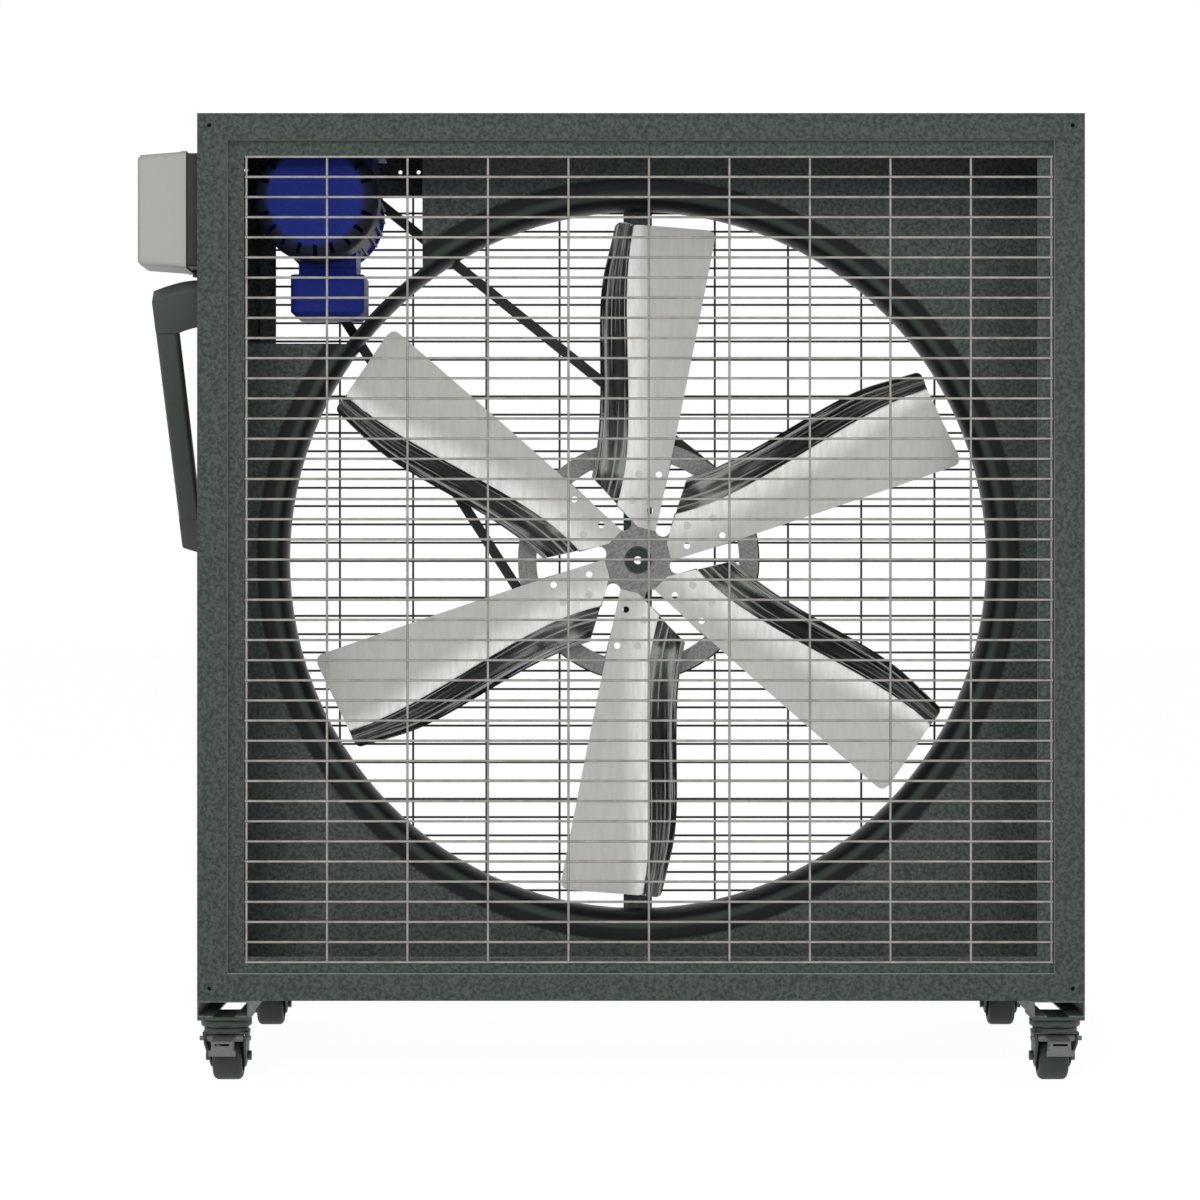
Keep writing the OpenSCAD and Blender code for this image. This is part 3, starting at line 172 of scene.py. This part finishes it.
lamp_size = 1.6
soft_lamp("key_lamp", (-0.9, -5.6, 1.9), 108.0, lamp_size)
soft_lamp("fill_lamp", (1.3, -5.6, 0.9), 52.0, lamp_size)


# Housing: four folded panels of 2 mm steel sheet, welded to a recessed frame in front and
# behind, on two rails, with an upright channel inside that carries the axle. All of it is
# zinc-speckled under a dark green-grey paint.
def tone(red, green, blue):
    """A colour as a screen shows it, 0 to 255, as the linear values that a shader takes."""
    parts = [c / 255 for c in (red, green, blue)]
    linear = [c / 12.92 if c <= 0.04045 else ((c + 0.055) / 1.055) ** 2.4 for c in parts]
    return (*linear, 1.0)


class Finish:
    """One material: fixed values on the shader's own sockets, and what varies through node maths."""

    def __init__(self, name, **fixed):
        self.material = bpy.data.materials.new(name)
        self.material.use_nodes = True
        self.tree = self.material.node_tree
        self.shader = self.tree.nodes["Principled BSDF"]
        for words, value in fixed.items():
            self.shader.inputs[words.replace("_", " ")].default_value = value
        self.place = add(self.tree, "ShaderNodeTexCoord", {}, {}, "Object")

    def noise(self, size, detail=2.0, rough=0.5, stretch=None, where=None):
        """Cloudy noise from 0 to 1 with blotches of that size in metres."""
        where = where or self.place
        if stretch:
            where = add(self.tree, "ShaderNodeMapping", {}, {"Vector": where, "Scale": stretch})
        inputs = {"Vector": where, "Scale": 1 / size, "Detail": detail, "Roughness": rough}
        return add(self.tree, "ShaderNodeTexNoise", {}, inputs)

    def cells(self, size):
        """Random grey from 0 to 1 in crystal-like cells of that size in metres."""
        inputs = {"Vector": self.place, "Scale": 1 / size}
        colour = add(self.tree, "ShaderNodeTexVoronoi", {"feature": "F1"}, inputs, "Color")
        return add(self.tree, "ShaderNodeSeparateColor", {}, {"Color": colour})

    def step(self, value, low, high, start=0.0, end=1.0):
        """A soft step from start to end as value goes from low to high."""
        inputs = {"Value": value, "From Min": low, "From Max": high, "To Min": start, "To Max": end}
        return add(self.tree, "ShaderNodeMapRange", {"interpolation_type": "SMOOTHSTEP"}, inputs)

    def tint(self, factor, first, second):
        return add(self.tree, "ShaderNodeMix", {"data_type": "RGBA"}, {0: factor, 6: first, 7: second}, 2)

    def feed(self, socket, value):
        self.tree.links.new(value.link, self.shader.inputs[socket])

    def bump(self, height, depth, strength=1.0):
        inputs = {"Height": height, "Distance": depth, "Strength": strength}
        self.feed("Normal", add(self.tree, "ShaderNodeBump", {}, inputs))


def dress(finish, *nodes):
    """Gives a finish to CAD nodes that keep their own mesh."""
    for name in nodes:
        for holder in frame["nodes"][name].material_slots:
            holder.material = finish.material


def speckled_paint(name, dark, light, rough):
    """Zinc-speckled paint: an even mottle of a few millimetres, and a fine orange-peel bump."""
    speckle = 0.0048
    peel = 0.0016
    paint = Finish(name, Roughness=rough, Specular_IOR_Level=0.22)
    mottle = paint.step(paint.noise(speckle, 3.0, 0.6), 0.34, 0.66)
    paint.base = paint.tint(mottle, tone(*dark), tone(*light))
    paint.feed("Base Color", paint.base)
    paint.feed("Roughness", paint.step(mottle, 0.0, 1.0, rough, rough - 0.1))
    paint.bump(paint.noise(peel, 2.0), 0.00012, 0.5)
    return paint


housing_paint = speckled_paint("housing_paint", (56, 63, 59), (86, 93, 89), 0.5)
dress(housing_paint, "top_panel", "bottom_panel", "left_panel", "right_panel", "support_bar")
rail_paint = speckled_paint("rail_paint", (84, 92, 87), (118, 126, 121), 0.5)
dress(rail_paint, "base_rail_left", "base_rail_right")

# The frames' faces are painted like the panels. Their bends and cut edges, the faces that don't look
# forwards, carry a painted highlight in paler tones, brightest where they face up to the light.
frame_paint = speckled_paint("frame_paint", (58, 65, 61), (88, 95, 91), 0.5)
facing = add(frame_paint.tree, "ShaderNodeTexCoord", {}, {}, "Normal")
up = add(frame_paint.tree, "ShaderNodeSeparateXYZ", {}, {0: facing}, "Z")
back = add(frame_paint.tree, "ShaderNodeSeparateXYZ", {}, {0: facing}, "Y")
# Painted highlight: faces that don't look forwards are painted pale, and palest where they face up.
painted_highlight_on_edge = frame_paint.step(back * back, 0.2, 0.6, 1.0, 0.0)
painted_highlight_tone = frame_paint.tint(frame_paint.step(up, -0.5, 0.9), tone(150, 156, 151), tone(226, 224, 220))
frame_paint.feed("Base Color", frame_paint.tint(painted_highlight_on_edge, frame_paint.base, painted_highlight_tone))
dress(frame_paint, "front_frame", "rear_frame")


# Venturi: one sheet with a rolled inlet ring, cut away at the top left for the motor. The sheet is painted
# paler than the panels as painted light on the plate deep inside. The ring carries painted shade, darker
# than the sheet, and a painted sheen round its crown.
# Painted light: the sheet's tones are paler than the panels' for the light on the plate deep behind the
# grille.
venturi_paint_with_painted_light = speckled_paint("venturi_paint_with_painted_light", (66, 73, 69), (96, 103, 99), 0.42)
ring_crown = 0.482
ring_edge = 0.506
ring_blend = 0.006


def radius_about(finish, axis):
    """Distance from the line along Y through that place."""
    centred = {"Vector": finish.place, "Location": (-axis.x, 0.0, -axis.z), "Scale": (1.0, 0.0, 1.0)}
    from_axis = add(finish.tree, "ShaderNodeMapping", {}, centred)
    return add(finish.tree, "ShaderNodeVectorMath", {"operation": "LENGTH"}, {0: from_axis}, "Value")


radius = radius_about(venturi_paint_with_painted_light, fan_axis)
off_crown = radius.maths("ABSOLUTE", radius - ring_crown)
# Painted shade darkens the ring, and a painted sheen lightens its crown.
painted_sheen = venturi_paint_with_painted_light.step(off_crown, 0.001, 0.008, 1.0, 0.0)
on_sheet = venturi_paint_with_painted_light.step(radius, ring_edge - ring_blend, ring_edge)
ring_painted_shade_and_sheen = venturi_paint_with_painted_light.tint(painted_sheen, tone(20, 24, 22), tone(66, 74, 69))
venturi_paint_with_painted_light.feed("Base Color", venturi_paint_with_painted_light.tint(on_sheet, ring_painted_shade_and_sheen, venturi_paint_with_painted_light.base))
dress(venturi_paint_with_painted_light, "venturi_panel")


# Grilles: steel wires welded into a mesh of level wires over uprights, one panel in front
# and two behind. The front one is bright zinc; the rear ones are the same wire in darker painted shade, for
# the shadow they stand in.
def body_of_node(node):
    """The rigid body that the record puts the node on."""
    bodies = frame["record"]["behaviour"]["bodies"]
    return next(body for body, members in bodies.items() if node in members)


def slot_of_node(node):
    """The node's material slot in the record."""
    subparts = frame["record"]["subparts"]
    return next(part["material_slot"] for part in subparts if part["node"] == node)


def finished(piece, finish, sharp=35.0):
    """Applies a piece's modifiers, shades it and gives it its finish."""
    evaluated = piece.evaluated_get(bpy.context.evaluated_depsgraph_get())
    mesh = bpy.data.meshes.new_from_object(evaluated)
    piece.modifiers.clear()
    piece.data = mesh
    mesh.materials.clear()
    mesh.materials.append(finish.material)
    mesh.shade_smooth()
    mesh.set_sharp_from_angle(angle=math.radians(sharp))
    return piece


def stand_for(piece, *nodes):
    """The piece takes the CAD nodes' place on their body, and the nodes are hidden."""
    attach(piece, body_of_node(nodes[0]))
    slot_of_node(nodes[0])
    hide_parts(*nodes)


def wire_mesh_tree():
    """Level and upright wires from named sizes, with a weld nub at each crossing."""
    tree = bpy.data.node_groups.new("welded_wires", "GeometryNodeTree")
    sizes = (("Width", 1.0), ("Height", 1.0), ("Wire radius", 0.0015), ("Depth step", 0.0027))
    for name, value in sizes:
        socket = tree.interface.new_socket(name, in_out="INPUT", socket_type="NodeSocketFloat")
        socket.default_value = value
    for name in ("Uprights", "Levels"):
        tree.interface.new_socket(name, in_out="INPUT", socket_type="NodeSocketInt").default_value = 11
    tree.interface.new_socket("Finish", in_out="INPUT", socket_type="NodeSocketMaterial")
    tree.interface.new_socket("Mesh", in_out="OUTPUT", socket_type="NodeSocketGeometry")
    given = tree.nodes.new("NodeGroupInput")
    width, height, radius, depth, uprights, levels, finish = [Socket(tree, s) for s in given.outputs[:7]]

    def rod(length, across):
        """A capped wire along X or Z, centred."""
        shaft = {"Vertices": 12, "Radius": radius, "Depth": length + radius * 2.0}
        made = add(tree, "GeometryNodeMeshCylinder", {}, shaft)
        if across:
            made = add(tree, "GeometryNodeTransform", {}, {0: made, "Rotation": (0.0, math.pi / 2, 0.0)})
        return made

    def row(count, start, step):
        """Points in a row: where they start and how far apart they are."""
        grid = {"Count": count, "Start Location": start, "Offset": step}
        return add(tree, "GeometryNodeMeshLine", {"mode": "OFFSET"}, grid)

    def place(x, y, z):
        return add(tree, "ShaderNodeCombineXYZ", {}, {0: x, 1: y, 2: z})

    def on_points(points, shape):
        return add(tree, "GeometryNodeInstanceOnPoints", {}, {"Points": points, "Instance": shape})

    x_step = width.maths("DIVIDE", width, uprights - 1.0)
    z_step = width.maths("DIVIDE", height, levels - 1.0)
    columns = row(uprights, place(width * -0.5, depth, 0.0), place(x_step, 0.0, 0.0))
    rows = row(levels, place(0.0, 0.0, height * -0.5), place(0.0, 0.0, z_step))
    stood = on_points(columns, rod(height, False))
    laid = on_points(rows, rod(width, True))
    grid = {"Size X": width, "Size Y": height, "Vertices X": uprights, "Vertices Y": levels}
    flat = add(tree, "GeometryNodeMeshGrid", {}, grid)
    turn = {0: flat, "Rotation": (math.pi / 2, 0.0, 0.0), "Translation": place(0.0, depth * 0.5, 0.0)}
    crossings = add(tree, "GeometryNodeTransform", {}, turn)
    bead = add(tree, "GeometryNodeMeshIcoSphere", {}, {"Radius": radius * 1.15, "Subdivisions": 2})
    beads = on_points(crossings, bead)
    joined = tree.nodes.new("GeometryNodeJoinGeometry")
    for part in (stood, laid, beads):
        tree.links.new(part.link, joined.inputs[0])
    real = add(tree, "GeometryNodeRealizeInstances", {}, {0: Socket(tree, joined.outputs[0])})
    made = add(tree, "GeometryNodeSetMaterial", {}, {0: real, "Material": finish})
    out = tree.nodes.new("NodeGroupOutput")
    tree.links.new(made.link, out.inputs[0])
    return tree


def from_tree(name, tree, values):
    """An object whose mesh the tree makes, with inputs set by their names' identifiers."""
    piece = bpy.data.objects.new(name, bpy.data.meshes.new(name))
    bpy.context.collection.objects.link(piece)
    maker = piece.modifiers.new("maker", "NODES")
    maker.node_group = tree
    for item in tree.interface.items_tree:
        if item.in_out == "INPUT" and item.name in values:
            maker[item.identifier] = values[item.name]
    return piece


def moved(piece, place):
    """Writes the place into the piece's mesh, so that its object stays at the origin."""
    piece.data.transform(Matrix.Translation(place))
    return piece


def wire_finish(name, pale_tone, dull_tone, metallic, rough):
    """Drawn wire with a dull zinc bloom."""
    wire = Finish(name, Metallic=metallic, Roughness=rough)
    bloom = wire.step(wire.noise(0.018, 3.0), 0.35, 0.65)
    wire.feed("Base Color", wire.tint(bloom, tone(*dull_tone), tone(*pale_tone)))
    wire.feed("Roughness", wire.step(bloom, 0.0, 1.0, rough - 0.08, rough + 0.08))
    wire.bump(wire.noise(0.0008, 2.0), 0.00005, 0.4)
    return wire


bright_wire = wire_finish("bright_wire", (186, 182, 176), (160, 157, 152), 0.35, 0.5)
# Painted shade: the rear grilles' wire is painted darker for the shadow they stand in.
shaded_rear_wire = wire_finish("shaded_rear_wire", (84, 86, 84), (64, 68, 66), 0.3, 0.55)
welded_wires = wire_mesh_tree()
upright_pitch = 0.1
level_pitch = 0.025
wire = 0.003
grilles = (("front_grille", bright_wire), ("rear_grille_left", shaded_rear_wire), ("rear_grille_right", shaded_rear_wire))
for node, finish in grilles:
    low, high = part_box(node)
    size = high - low
    is_rear = node != "front_grille"
    values = {
        "Width": size.x - wire,
        "Height": size.z - wire,
        "Wire radius": wire / 2,
        "Depth step": (size.y - wire) * (-1 if is_rear else 1),
        "Uprights": round((size.x - wire) / upright_pitch) + 1,
        "Levels": round((size.z - wire) / level_pitch) + 1,
        "Finish": finish.material,
    }
    mesh_piece = finished(from_tree(node + "_wires", welded_wires, values), finish, 60.0)
    level_y = high.y - wire / 2 if is_rear else low.y + wire / 2
    moved(mesh_piece, ((low.x + high.x) / 2, level_y, (low.z + high.z) / 2))
    stand_for(mesh_piece, node)


# Hub: a hollow stub axle nutted to an upright channel, two shielded ball bearings and a
# cast aluminium pulley with six arms and a turned belt rim.
def rounded(finish, radius, *nodes):
    """Stands for each node with its own solid, whose sharp edges get a small round."""
    for node in nodes:
        mesh = frame["nodes"][node].data.copy()
        shape = bmesh.new()
        shape.from_mesh(mesh)
        bmesh.ops.remove_doubles(shape, verts=shape.verts, dist=1e-5)
        bmesh.ops.dissolve_limit(shape, angle_limit=math.radians(1), verts=shape.verts, edges=shape.edges)
        shape.to_mesh(mesh)
        shape.free()
        piece = bpy.data.objects.new(node + "_rounded", mesh)
        bpy.context.collection.objects.link(piece)
        edge = piece.modifiers.new("round", "BEVEL")
        edge.width = radius
        edge.segments = 2
        edge.limit_method = "ANGLE"
        edge.angle_limit = math.radians(50)
        edge.use_clamp_overlap = False
        stand_for(finished(piece, finish, 50.0), node)


def grained(name, size, detail, dark, light, relief=None, **fixed):
    """A finish that wanders between two tones in grains of that size, raised where it has relief."""
    finish = Finish(name, **fixed)
    grain = finish.noise(size, detail)
    finish.feed("Base Color", finish.tint(grain, tone(*dark), tone(*light)))
    if relief:
        finish.bump(grain, relief, 0.5)
    return finish


turned_steel = Finish("turned_steel", Metallic=0.9, Roughness=0.34)
scratch = turned_steel.noise(0.004, 3.0, stretch=(1.0, 6.0, 1.0))
turned_steel.feed("Base Color", turned_steel.tint(scratch, tone(120, 124, 121), tone(168, 170, 167)))
turned_steel.feed("Roughness", turned_steel.step(scratch, 0.3, 0.7, 0.26, 0.42))
black_steel = grained("black_steel", 0.006, 3.0, (38, 44, 40), (66, 74, 68), Metallic=0.4, Roughness=0.48)
black_steel.bump(black_steel.noise(0.0012), 0.00006, 0.4)
cast_metal = Finish("cast_metal", Metallic=0.55, Roughness=0.55)
grain = cast_metal.step(cast_metal.noise(0.0035, 4.0, 0.7), 0.3, 0.7)
cast_metal.feed("Base Color", cast_metal.tint(grain, tone(130, 130, 128), tone(160, 160, 157)))
cast_metal.feed("Roughness", cast_metal.step(grain, 0.0, 1.0, 0.62, 0.44))
cast_metal.bump(cast_metal.noise(0.0018, 3.0), 0.0001, 0.5)
seal_steel = grained("seal_steel", 0.003, 3.0, (70, 74, 71), (98, 102, 98), Metallic=0.5, Roughness=0.5)
dress(turned_steel, "axle_nut", "fan_axle")
dress(seal_steel, "hub_bearings")
rounded(black_steel, 0.0006, "axle_washer")
dress(cast_metal, "fan_pulley", "motor_pulley")


# Blades: six pressed blades of plain bright sheet, riveted to the arms of the hub. Each lies flat
# along its straight side and curls forwards along the other, with a little pitch at the tip.
# The sheet has fine rolling marks, and the press has left drawn streaks along the curl. The flat sheet
# carries a painted highlight that brightens towards the crease.
blade_sheet = Finish("blade_sheet")
run = add(blade_sheet.tree, "ShaderNodeUVMap", {"uv_map": "run"}, {})
across_curl = add(blade_sheet.tree, "ShaderNodeSeparateXYZ", {}, {0: run}, "Y")
on_curl = blade_sheet.step(across_curl, -0.03, 0.05)
streak = blade_sheet.step(blade_sheet.noise(1.0, 3.0, 0.6, (3.0, 7.0, 1.0), run), 0.5, 0.64)
marks = blade_sheet.noise(0.006, 3.0, 0.6, (1.0, 1.0, 0.14))
# Painted highlight: the flat sheet is painted brighter towards the crease, where the lamps would glint.
painted_glow_near_crease = blade_sheet.step(across_curl, -1.1, -0.1)
flat_tone_with_painted_highlight = blade_sheet.tint(painted_glow_near_crease, tone(196, 196, 193), tone(244, 244, 241))
rolled_tone = blade_sheet.tint(blade_sheet.step(marks, 0.3, 0.7, 0.0, 0.3), flat_tone_with_painted_highlight, tone(170, 170, 167))
blade_sheet.feed("Base Color", blade_sheet.tint(on_curl, rolled_tone, tone(206, 208, 204)))
blade_sheet.feed("Metallic", 1.0 - on_curl * streak * 0.8)
blade_sheet.feed("Roughness", blade_sheet.step(on_curl, 0.0, 1.0, 0.3, 0.16))
blade_sheet.bump(on_curl * streak, 0.0006, 0.6)

seat_behind_front = 0.316
seat = Vector((fan_axis.x, front_y + seat_behind_front, fan_axis.z))
open_holes = (0.068, 0.1175)
open_hole_radius = 0.0043
blade_root = 0.043
blade_tip = 0.452
blade_thick = 0.0015
blades = 6
first_blade = 13.7
tip_pitch = 7.0
pitch_from = 0.22
tip_corner = 0.012
tip_slant = 0.176
root_cut = 0.036
root_slant = 0.65
straight_at_root = -0.0135
straight_shift = 0.016
crease_at_root = 0.044
crease_shift = 0.068
curled_at_root = 0.086
curled_shift = 0.048
root_curl = 0.042
curl_loss = 0.008
curl_straight = 0.7


def eased(t):
    """A smooth step from 0 to 1."""
    t = min(max(t, 0.0), 1.0)
    return t * t * (3 - 2 * t)


def straight_edge(u):
    """How far the blade's straight edge stands to the side of its arm's middle line."""
    return straight_at_root + straight_shift * u**1.3


def crease(u):
    """Where the flat part ends and the curl begins."""
    return crease_at_root + crease_shift * eased((max(0.0, u - 0.08) / 0.95) ** 0.85)


def curled_edge(u):
    """The far edge of the curl."""
    return curled_at_root + curled_shift * eased(u / 0.8)


def curl_share(u, across):
    """How far across the curl: 0 at the crease, 1 at the edge and below 0 on the flat part."""
    return (across - crease(u)) / (curled_edge(u) - crease(u))


def blade_place(u, v):
    """A point of the blade's back: u runs from root to tip, v from the straight to the curled edge."""
    length = (1 - u) * (blade_tip - blade_root)
    near_tip = tip_corner - length
    cut = tip_corner - math.sqrt(tip_corner**2 - near_tip**2) if near_tip > 0 else 0.0
    low, high = straight_edge(u) + cut, curled_edge(u) - cut
    across = low + (high - low) * v
    root = max(blade_root, root_cut + root_slant * across)
    out = (1 - u) * root + u * (blade_tip - tip_slant * across)
    pitch = math.radians(tip_pitch * eased((u - pitch_from) / (1 - pitch_from)))
    lift = math.tan(pitch) * (across - straight_edge(u))
    share = curl_share(u, across)
    if share > 0:
        curl = root_curl - curl_loss * u * u
        curl_bend = (1 - curl_straight) / 2
        lift += curl * (curl_straight * share + curl_bend * (1 - math.cos(math.pi * share)))
    return Vector((out, -lift, across))


def blade_piece(number):
    """One blade as a thin closed shell with its two open holes."""
    rows, columns = 60, 44
    shape = bmesh.new()
    spread = [1 - (1 - i / rows) ** 1.25 for i in range(rows + 1)]
    grid = [[shape.verts.new(blade_place(u, j / columns)) for j in range(columns + 1)] for u in spread]
    for i in range(rows):
        for j in range(columns):
            shape.faces.new((grid[i][j], grid[i + 1][j], grid[i + 1][j + 1], grid[i][j + 1]))
    bmesh.ops.recalc_face_normals(shape, faces=shape.faces)
    run_layer = shape.loops.layers.uv.new("run")
    for u, row in zip(spread, grid):
        for corner in row:
            for loop in corner.link_loops:
                loop[run_layer].uv = (corner.co.x, curl_share(u, corner.co.z))
    turn = Matrix.Rotation(math.radians(first_blade - 90 + 360 / blades * (number - 1)), 4, "Y")
    shape.transform(Matrix.Translation(seat) @ turn)
    mesh = bpy.data.meshes.new("blade_%d_sheet" % number)
    shape.to_mesh(mesh)
    shape.free()
    piece = bpy.data.objects.new("blade_%d_sheet" % number, mesh)
    bpy.context.collection.objects.link(piece)
    # The sheet gets its thickness towards the front, whichever way its faces came out.
    front = mesh.polygons[len(mesh.polygons) // 3].normal.y < 0
    wall = piece.modifiers.new("wall", "SOLIDIFY")
    wall.thickness = blade_thick
    wall.offset = 1.0 if front else -1.0
    drills = bmesh.new()
    along_axle = Matrix.Rotation(math.radians(90), 4, "X")
    ends = {"radius1": open_hole_radius, "radius2": open_hole_radius, "depth": 0.04}
    for away in open_holes:
        drill = bmesh.ops.create_cone(drills, cap_ends=True, segments=32, **ends)
        place = Matrix.Translation((away, 0, 0)) @ along_axle
        bmesh.ops.transform(drills, matrix=place, verts=drill["verts"])
    drills.transform(Matrix.Translation(seat) @ turn)
    drill_mesh = bpy.data.meshes.new("drill")
    drills.to_mesh(drill_mesh)
    drills.free()
    drill_piece = bpy.data.objects.new("drill", drill_mesh)
    bpy.context.collection.objects.link(drill_piece)
    holes = piece.modifiers.new("holes", "BOOLEAN")
    holes.object = drill_piece
    holes.solver = "EXACT"
    finished(piece, blade_sheet, 40.0)
    bpy.data.objects.remove(drill_piece)
    return piece


for number in range(1, blades + 1):
    stand_for(blade_piece(number), "blade_%d" % number)
rivet_tones = ((190, 190, 187), (214, 214, 211))
rivet_metal = grained("rivet_metal", 0.002, 2.0, *rivet_tones, Metallic=1.0, Roughness=0.32)
dress(rivet_metal, "blade_rivets")


# Drive: a moulded V-belt from the motor pulley to the rim of the fan pulley.
# Its rubber has a fine woven grain.
belt_rubber = grained("belt_rubber", 0.0012, 2.0, (26, 28, 27), (48, 52, 49), 0.0001, Roughness=0.62)
dress(belt_rubber, "drive_belt")


# Motor: a foot-mounted induction motor, hung by its feet from a slotted slide base under the
# top panel, painted glossy blue, with a pressed cowl and a terminal box below.
def glossy_blue(name):
    """Blue enamel with a slight orange peel."""
    enamel = Finish(name, Roughness=0.42, Specular_IOR_Level=0.12)
    peel = enamel.noise(0.004, 2.0)
    enamel.base = enamel.tint(peel, tone(30, 42, 120), tone(38, 52, 134))
    enamel.feed("Base Color", enamel.base)
    enamel.bump(peel, 0.0001, 0.4)
    return enamel


motor_paint = glossy_blue("motor_paint")
shaded_cowl_paint = glossy_blue("shaded_cowl_paint")
cowl_low, cowl_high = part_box("motor_cowl")
# Painted shade: the cowl's rounded shoulder is painted near black, round the shaft's axis.
shoulder_inside = 0.057
shoulder_outside = 0.066
from_shaft = radius_about(shaded_cowl_paint, (cowl_low + cowl_high) / 2)
painted_shade_on_shoulder = shaded_cowl_paint.step(from_shaft, shoulder_inside, shoulder_outside)
shaded_cowl_paint.feed("Base Color", shaded_cowl_paint.tint(painted_shade_on_shoulder, shaded_cowl_paint.base, tone(30, 34, 46)))
rounded(motor_paint, 0.0012, "motor_drive_shield", "terminal_box")
dress(motor_paint, "motor_frame", "terminal_box_lid")
dress(shaded_cowl_paint, "motor_cowl")
black_plastic = grained("black_plastic", 0.0014, 3.0, (36, 40, 38), (52, 57, 54), 0.00008, Roughness=0.55)
dress(black_plastic, "motor_cooling_fan")
zinc_plate = Finish("zinc_plate", Metallic=0.8, Roughness=0.4)
bloom = zinc_plate.cells(0.009)
zinc_plate.feed("Base Color", zinc_plate.tint(bloom, tone(132, 136, 134), tone(160, 163, 160)))
zinc_plate.feed("Roughness", zinc_plate.step(bloom, 0.0, 1.0, 0.34, 0.48))
dress(turned_steel, "motor_rotor")
rounded(zinc_plate, 0.0006, "motor_slide_base")


# Connection box: a black moulded base and a pale drafted cover on the left wall.
# A black cable gland is seated in the base's underside.
cover_tones = ((178, 178, 175), (190, 190, 187))
pale_plastic = grained("pale_plastic", 0.0016, 3.0, *cover_tones, 0.00008, Roughness=0.42)
dress(pale_plastic, "connection_box_cover")
rounded(black_plastic, 0.0005, "connection_box_base", "cable_gland")


# Handle: a moulded bow on the left wall, a grip tube between two splayed feet.
# The plastic is dark green-grey with a fine moulded grain.
handle_tones = ((58, 65, 60), (74, 82, 76))
handle_plastic = grained("handle_plastic", 0.0022, 3.0, *handle_tones, 0.00015, Roughness=0.55)
rounded(handle_plastic, 0.0025, "handle_foot_upper", "handle_foot_lower")
rounded(handle_plastic, 0.0006, "handle_grip")


# Castors: a swivel plate under each end of the base rails, a pressed fork and a solid wheel.
# The two in front have a foot pedal that presses a shoe on the wheel.
fork_tones = ((56, 62, 58), (78, 86, 80))
castor_paint = grained("castor_paint", 0.002, 3.0, *fork_tones, 0.0001, Roughness=0.5, Metallic=0.2)
wheel_rubber = grained("wheel_rubber", 0.003, 3.0, (38, 43, 41), (60, 66, 62), 0.00015, Roughness=0.62)
pedal_tones = ((108, 108, 106), (130, 130, 128))
pedal_paint = grained("pedal_paint", 0.002, 2.0, *pedal_tones, Roughness=0.45, Metallic=0.3)
for corner in ("fl", "fr", "rl", "rr"):
    rounded(castor_paint, 0.0006, "castor_fork_" + corner, "castor_plate_" + corner)
    dress(castor_paint, "castor_axle_" + corner)
    dress(wheel_rubber, "castor_wheel_" + corner)
for corner in ("fl", "fr"):
    rounded(pedal_paint, 0.0008, "brake_pedal_" + corner)


# Rivets: small blackened rivets stand along the recess lips of both frames, beside the grilles.
# They share the dark steel of the axle's washer.
dress(black_steel, "frame_rivets")
